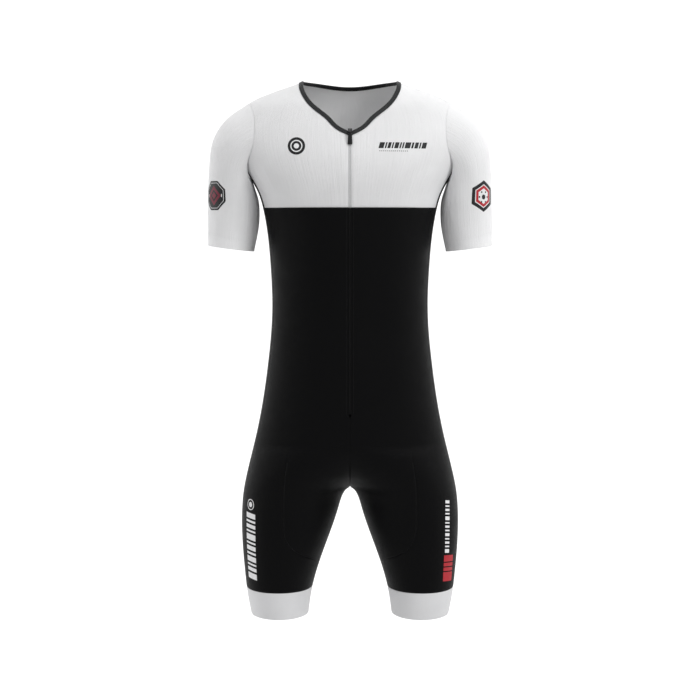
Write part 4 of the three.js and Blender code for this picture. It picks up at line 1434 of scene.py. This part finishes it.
# %% Marks on the chest
FRONT = (0, 1)
LEANING = 2.8  # how far the tops of the bars lean, in mm
CHEST_RIGHT = ("yoke_front_right", (-90, -98, -87), FRONT)
CHEST_LEFT = ("yoke_front_left", (89, -98, -86), FRONT)
CHEST_BARS = row_of_bars([10, 3, 6, 3, 8, 3, 3, 11, 4, 7, 3, 9], 1.9, 10, 80, LEANING)
CHEST_TICKS = row_of_bars([1] * 15, 1.7, 1.1, 48, 0, -16, -9.6)
PRINTS = [  # name, where it goes, ink, layer, shapes
    ("chest_disc", *CHEST_RIGHT, black_ink, 0, [round_patch(0, 0, 14.7)]),
    ("chest_disc_ring", *CHEST_RIGHT, white_ink, 1, [round_patch(0, 0, 10.2, 8.4), round_patch(0, 0, 4.4)]),
    ("chest_bars", *CHEST_LEFT, black_ink, 0, CHEST_BARS + CHEST_TICKS),
]

# %% Badges on the sleeves
RIGHT_SLEEVE = ("sleeve_cloth_right", (-233.6, -32.4, -169), (0.72, 0.69))
LEFT_SLEEVE = ("sleeve_cloth_left", (229, -37, -170), (-0.6, 0.8))
EIGHTH, SIXTH = math.pi / 8, math.pi / 6
WHITE_LINE = [round_patch(0, 0, 23.6, 22.8, 8, EIGHTH)] + [bar(x, 0, 1.6, 5) for x in (-18, 18)]
RED_DIAMONDS = [round_patch(0, 0, 17, 10.5, 4), round_patch(0, 0, 6.4, 0.05, 4)]
BLACK_HEXAGON = [round_patch(0, 0, 27, 20.5, 6, SIXTH), round_patch(0, -1.5, 4.2)]
SIX_DOTS = [round_patch(9.6 * math.cos(t), -1.5 + 9.6 * math.sin(t), 1.6) for t in np.arange(6) * 2 * SIXTH]
PRINTS += [
    ("right_badge", *RIGHT_SLEEVE, black_ink, 0, [round_patch(0, 0, 27, 0.05, 8, EIGHTH)]),
    ("right_badge_lines", *RIGHT_SLEEVE, white_ink, 1, WHITE_LINE),
    ("right_badge_red", *RIGHT_SLEEVE, dark_red_ink, 1, RED_DIAMONDS),
    ("left_badge", *LEFT_SLEEVE, black_ink, 0, BLACK_HEXAGON + SIX_DOTS),
    ("left_badge_red", *LEFT_SLEEVE, red_ink, 0, [round_patch(0, 0, 18.6, 13.4, 6, SIXTH)]),
]

# %% Bars down the legs
# The marks sit on the outer sides of the thighs, so they are pressed on from there.
RIGHT_LEG = ("thigh_right", (-173, -45, -776), (0.75, 0.66))
LEFT_LEG = ("thigh_left", (169, -49, -741), (-0.7, 0.71))
LEFT_BLOCK = ("thigh_left", (172, -43, -815), (-0.75, 0.66))
RIGHT_BARS = stood_up(row_of_bars([7, 3, 5, 2.5, 8, 2.5, 6, 3, 7, 2.5, 5, 8], 3.6, 25, 116, LEANING))
RING_AND_DOT = [round_patch(0, 73, 9.6, 8.2), round_patch(0, 73, 4.6)]
LEFT_TICKS = stood_up(row_of_bars([4, 2, 3, 2, 5, 2, 3, 2, 4, 2, 3, 2, 5], 3.4, 11, 92, 1.6))
PRINTS += [
    ("right_leg", *RIGHT_LEG, white_ink, 0, RIGHT_BARS + RING_AND_DOT),
    ("left_leg", *LEFT_LEG, white_ink, 0, LEFT_TICKS),
    ("left_block", *LEFT_BLOCK, red_ink, 0, stood_up(row_of_bars([9, 5, 5, 13], 2.0, 27, 46, LEANING))),
]
for name, target, centre, facing, ink, layer, shapes in PRINTS:
    pieces[f"print_{name}"] = print_on(f"print_{name}", target, centre, facing, shapes, ink, layer)

# %% [markdown]
# ## Handing the pieces to the frame
# Each piece gets its finish, rides on the body of the frame that it belongs to, and hides the
# plain nodes that it stands for. Every piece of cloth also says how large it was cut.

# %% Finishes and the frame
SEWN = {
    "yoke_front": (["front_yoke"], "white_cloth", white_cloth, ["yoke_back"]),
    "body_front": (["front_body"], "black_cloth", black_cloth, ["yoke_front"]),
    "body_crotch": (["front_body"], "black_cloth", black_cloth, ["body_front"]),
    "side_strip": (["side_panel"], "black_cloth", black_cloth, ["body_front"]),
    "thigh": (["leg_front"], "black_cloth", black_cloth, ["body_front"]),
    "body_back": (["back_body"], "black_cloth", black_cloth, ["yoke_back"]),
    "sleeve_cloth": (["sleeve"], "white_cloth", white_cloth, ["yoke_front"]),
    "leg_band_cloth": (["leg_band"], "band_cloth", band_cloth, ["thigh"]),
}
for side in SIDES:
    for kind, (nodes, slot, finish, carriers) in SEWN.items():
        piece = pieces[f"{kind}_{side}"]
        piece.data.materials.append(finish)
        carriers = [c if c in pieces else f"{c}_{side}" for c in carriers]
        lay(piece, [f"{n}_{side}" for n in nodes])
pieces["yoke_back"].data.materials.append(white_cloth)
lay(pieces["yoke_back"], ["back_yoke"])
pieces["neck_binding_cloth"].data.materials.append(binding_cloth)
lay(pieces["neck_binding_cloth"], ["neck_binding"])

for colour, finish in (("white", white_tape_painted_shade), ("black", tape_black)):
    for side in SIDES:
        tape = pieces[f"zip_tape_{colour}_{side}"]
        tape.data.materials.append(finish)
        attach(tape, "suit")
        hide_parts("zip")
for name, slot in (
    ("zip_coil_white", "zip_tape"),
    ("zip_coil_black", "zip_tape"),
    ("stitches_white", "white_cloth"),
    ("stitches_black", "black_cloth"),
    ("stitches_binding", "binding_cloth"),
):
    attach(pieces[name], "suit")
for name in [n for n in pieces if n.startswith("print_")]:
    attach(pieces[name], "suit")
for name, node_name, body in (
    ("slider_metal", "zip_slider", "suit"),
    ("pull_metal", "zip_pull", "pull_tab"),
):
    pieces[name].data.materials.clear()
    pieces[name].data.materials.append(enamel)
    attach(pieces[name], body)
    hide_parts(node_name)
print("pieces:", len(pieces))

# %% [markdown]
# ## The studio
# The photograph is taken straight from the front, a little above the waist, against plain white.
# The key light stands high on the right, a broad one hangs above, two weak ones touch the edges
# from behind, and the white room does the rest. Floor and wall are one round sheet that bends up
# all round, so no line shows between them. It glows white for the camera. The cloth gets less of
# that glow, least from in front, which keeps the black black: a Light Path node tells a look of the
# camera from light on its way to the cloth.

# %% Floor and wall
FLOOR_Z, ROOM_RADIUS, BEND, WALL_TOP, ROOM_SIDES = -0.96, 5.5, 1.6, 4.5, 72
GLOW_FRONT, GLOW_BACK, FADE = 0.39, 0.85, 1.5  # what the cloth gets of it, and where along Y it fades


def backdrop():
    profile = [(0.0, FLOOR_Z), (ROOM_RADIUS - BEND, FLOOR_Z)]
    for step in range(1, 13):
        angle = step / 12 * math.pi / 2
        rise = BEND * (1 - math.cos(angle))
        profile.append((ROOM_RADIUS - BEND + BEND * math.sin(angle), FLOOR_Z + rise))
    profile.append((ROOM_RADIUS, WALL_TOP))
    form = bmesh.new()
    line = [form.verts.new((radius, 0, z)) for radius, z in profile]
    edges = [form.edges.new(pair) for pair in zip(line, line[1:])]
    turn = dict(axis=(0, 0, 1), cent=(0, 0, 0), angle=2 * math.pi, steps=ROOM_SIDES)
    bmesh.ops.spin(form, geom=line + edges, **turn)
    bmesh.ops.remove_doubles(form, verts=form.verts, dist=1e-5)
    bmesh.ops.recalc_face_normals(form, faces=form.faces)
    mesh = bpy.data.meshes.new("backdrop")
    form.to_mesh(mesh)
    form.free()
    mesh.shade_smooth()
    sheet = placed("backdrop", mesh)
    material, tree, shader = new_finish("white paper", Roughness=0.9, Emission_Strength=1.0)
    coloured(tree, shader, (0.25, 0.25, 0.25), grouped(tree, DYE, Scale=2.0, Low=0.995, High=1.005))
    place = node(tree, "ShaderNodeTexCoord")
    split = node(tree, "ShaderNodeSeparateXYZ", ("Vector", place.outputs["Object"]))
    fade = node(
        tree,
        "ShaderNodeMapRange",
        ("Value", split.outputs["Y"]),
        ("From Min", -FADE),
        ("From Max", FADE),
        ("To Min", GLOW_FRONT),
        ("To Max", GLOW_BACK),
    )
    seen = node(tree, "ShaderNodeLightPath")
    glow = node(tree, "ShaderNodeMath", (0, fade.outputs["Result"]), (1, seen.outputs["Is Camera Ray"]))
    glow.operation = "MAXIMUM"
    tree.links.new(glow.outputs["Value"], shader.inputs["Emission Color"])
    mesh.materials.append(material)
    return sheet


backdrop()

# %% Lights and camera
AIM = Vector((0, 0, -0.4375))


def area_light(name, place, size, power):
    light = bpy.data.lights.new(name, "AREA")
    light.energy, light.size = power, size
    lamp = placed(name, light)
    lamp.location = place
    lamp.rotation_euler = (AIM - Vector(place)).to_track_quat("-Z", "Y").to_euler()


area_light("key", (1.95, -1.6, 1.4), 1.0, 38)
area_light("top", (0, -0.5, 1.9), 1.4, 20)
area_light("edge left", (-1.9, 0.5, 0.2), 1.2, 9)
area_light("edge right", (1.9, 0.9, 0.4), 1.2, 5)

scene = bpy.context.scene
world = bpy.data.worlds.new("white room")
world.use_nodes = True
world.node_tree.nodes["Background"].inputs["Color"].default_value = (1, 1, 1, 1)
world.node_tree.nodes["Background"].inputs["Strength"].default_value = 0.32
scene.world = world
scene.view_settings.view_transform = "Standard"

camera_data = bpy.data.cameras.new("camera")
camera_data.lens, camera_data.sensor_width, camera_data.sensor_fit = 85, 36, "HORIZONTAL"
camera = placed("camera", camera_data)
camera.location = (0, -2.8838, -0.22)
camera.rotation_euler = (AIM - camera.location).to_track_quat("-Z", "Y").to_euler()
scene.camera = camera
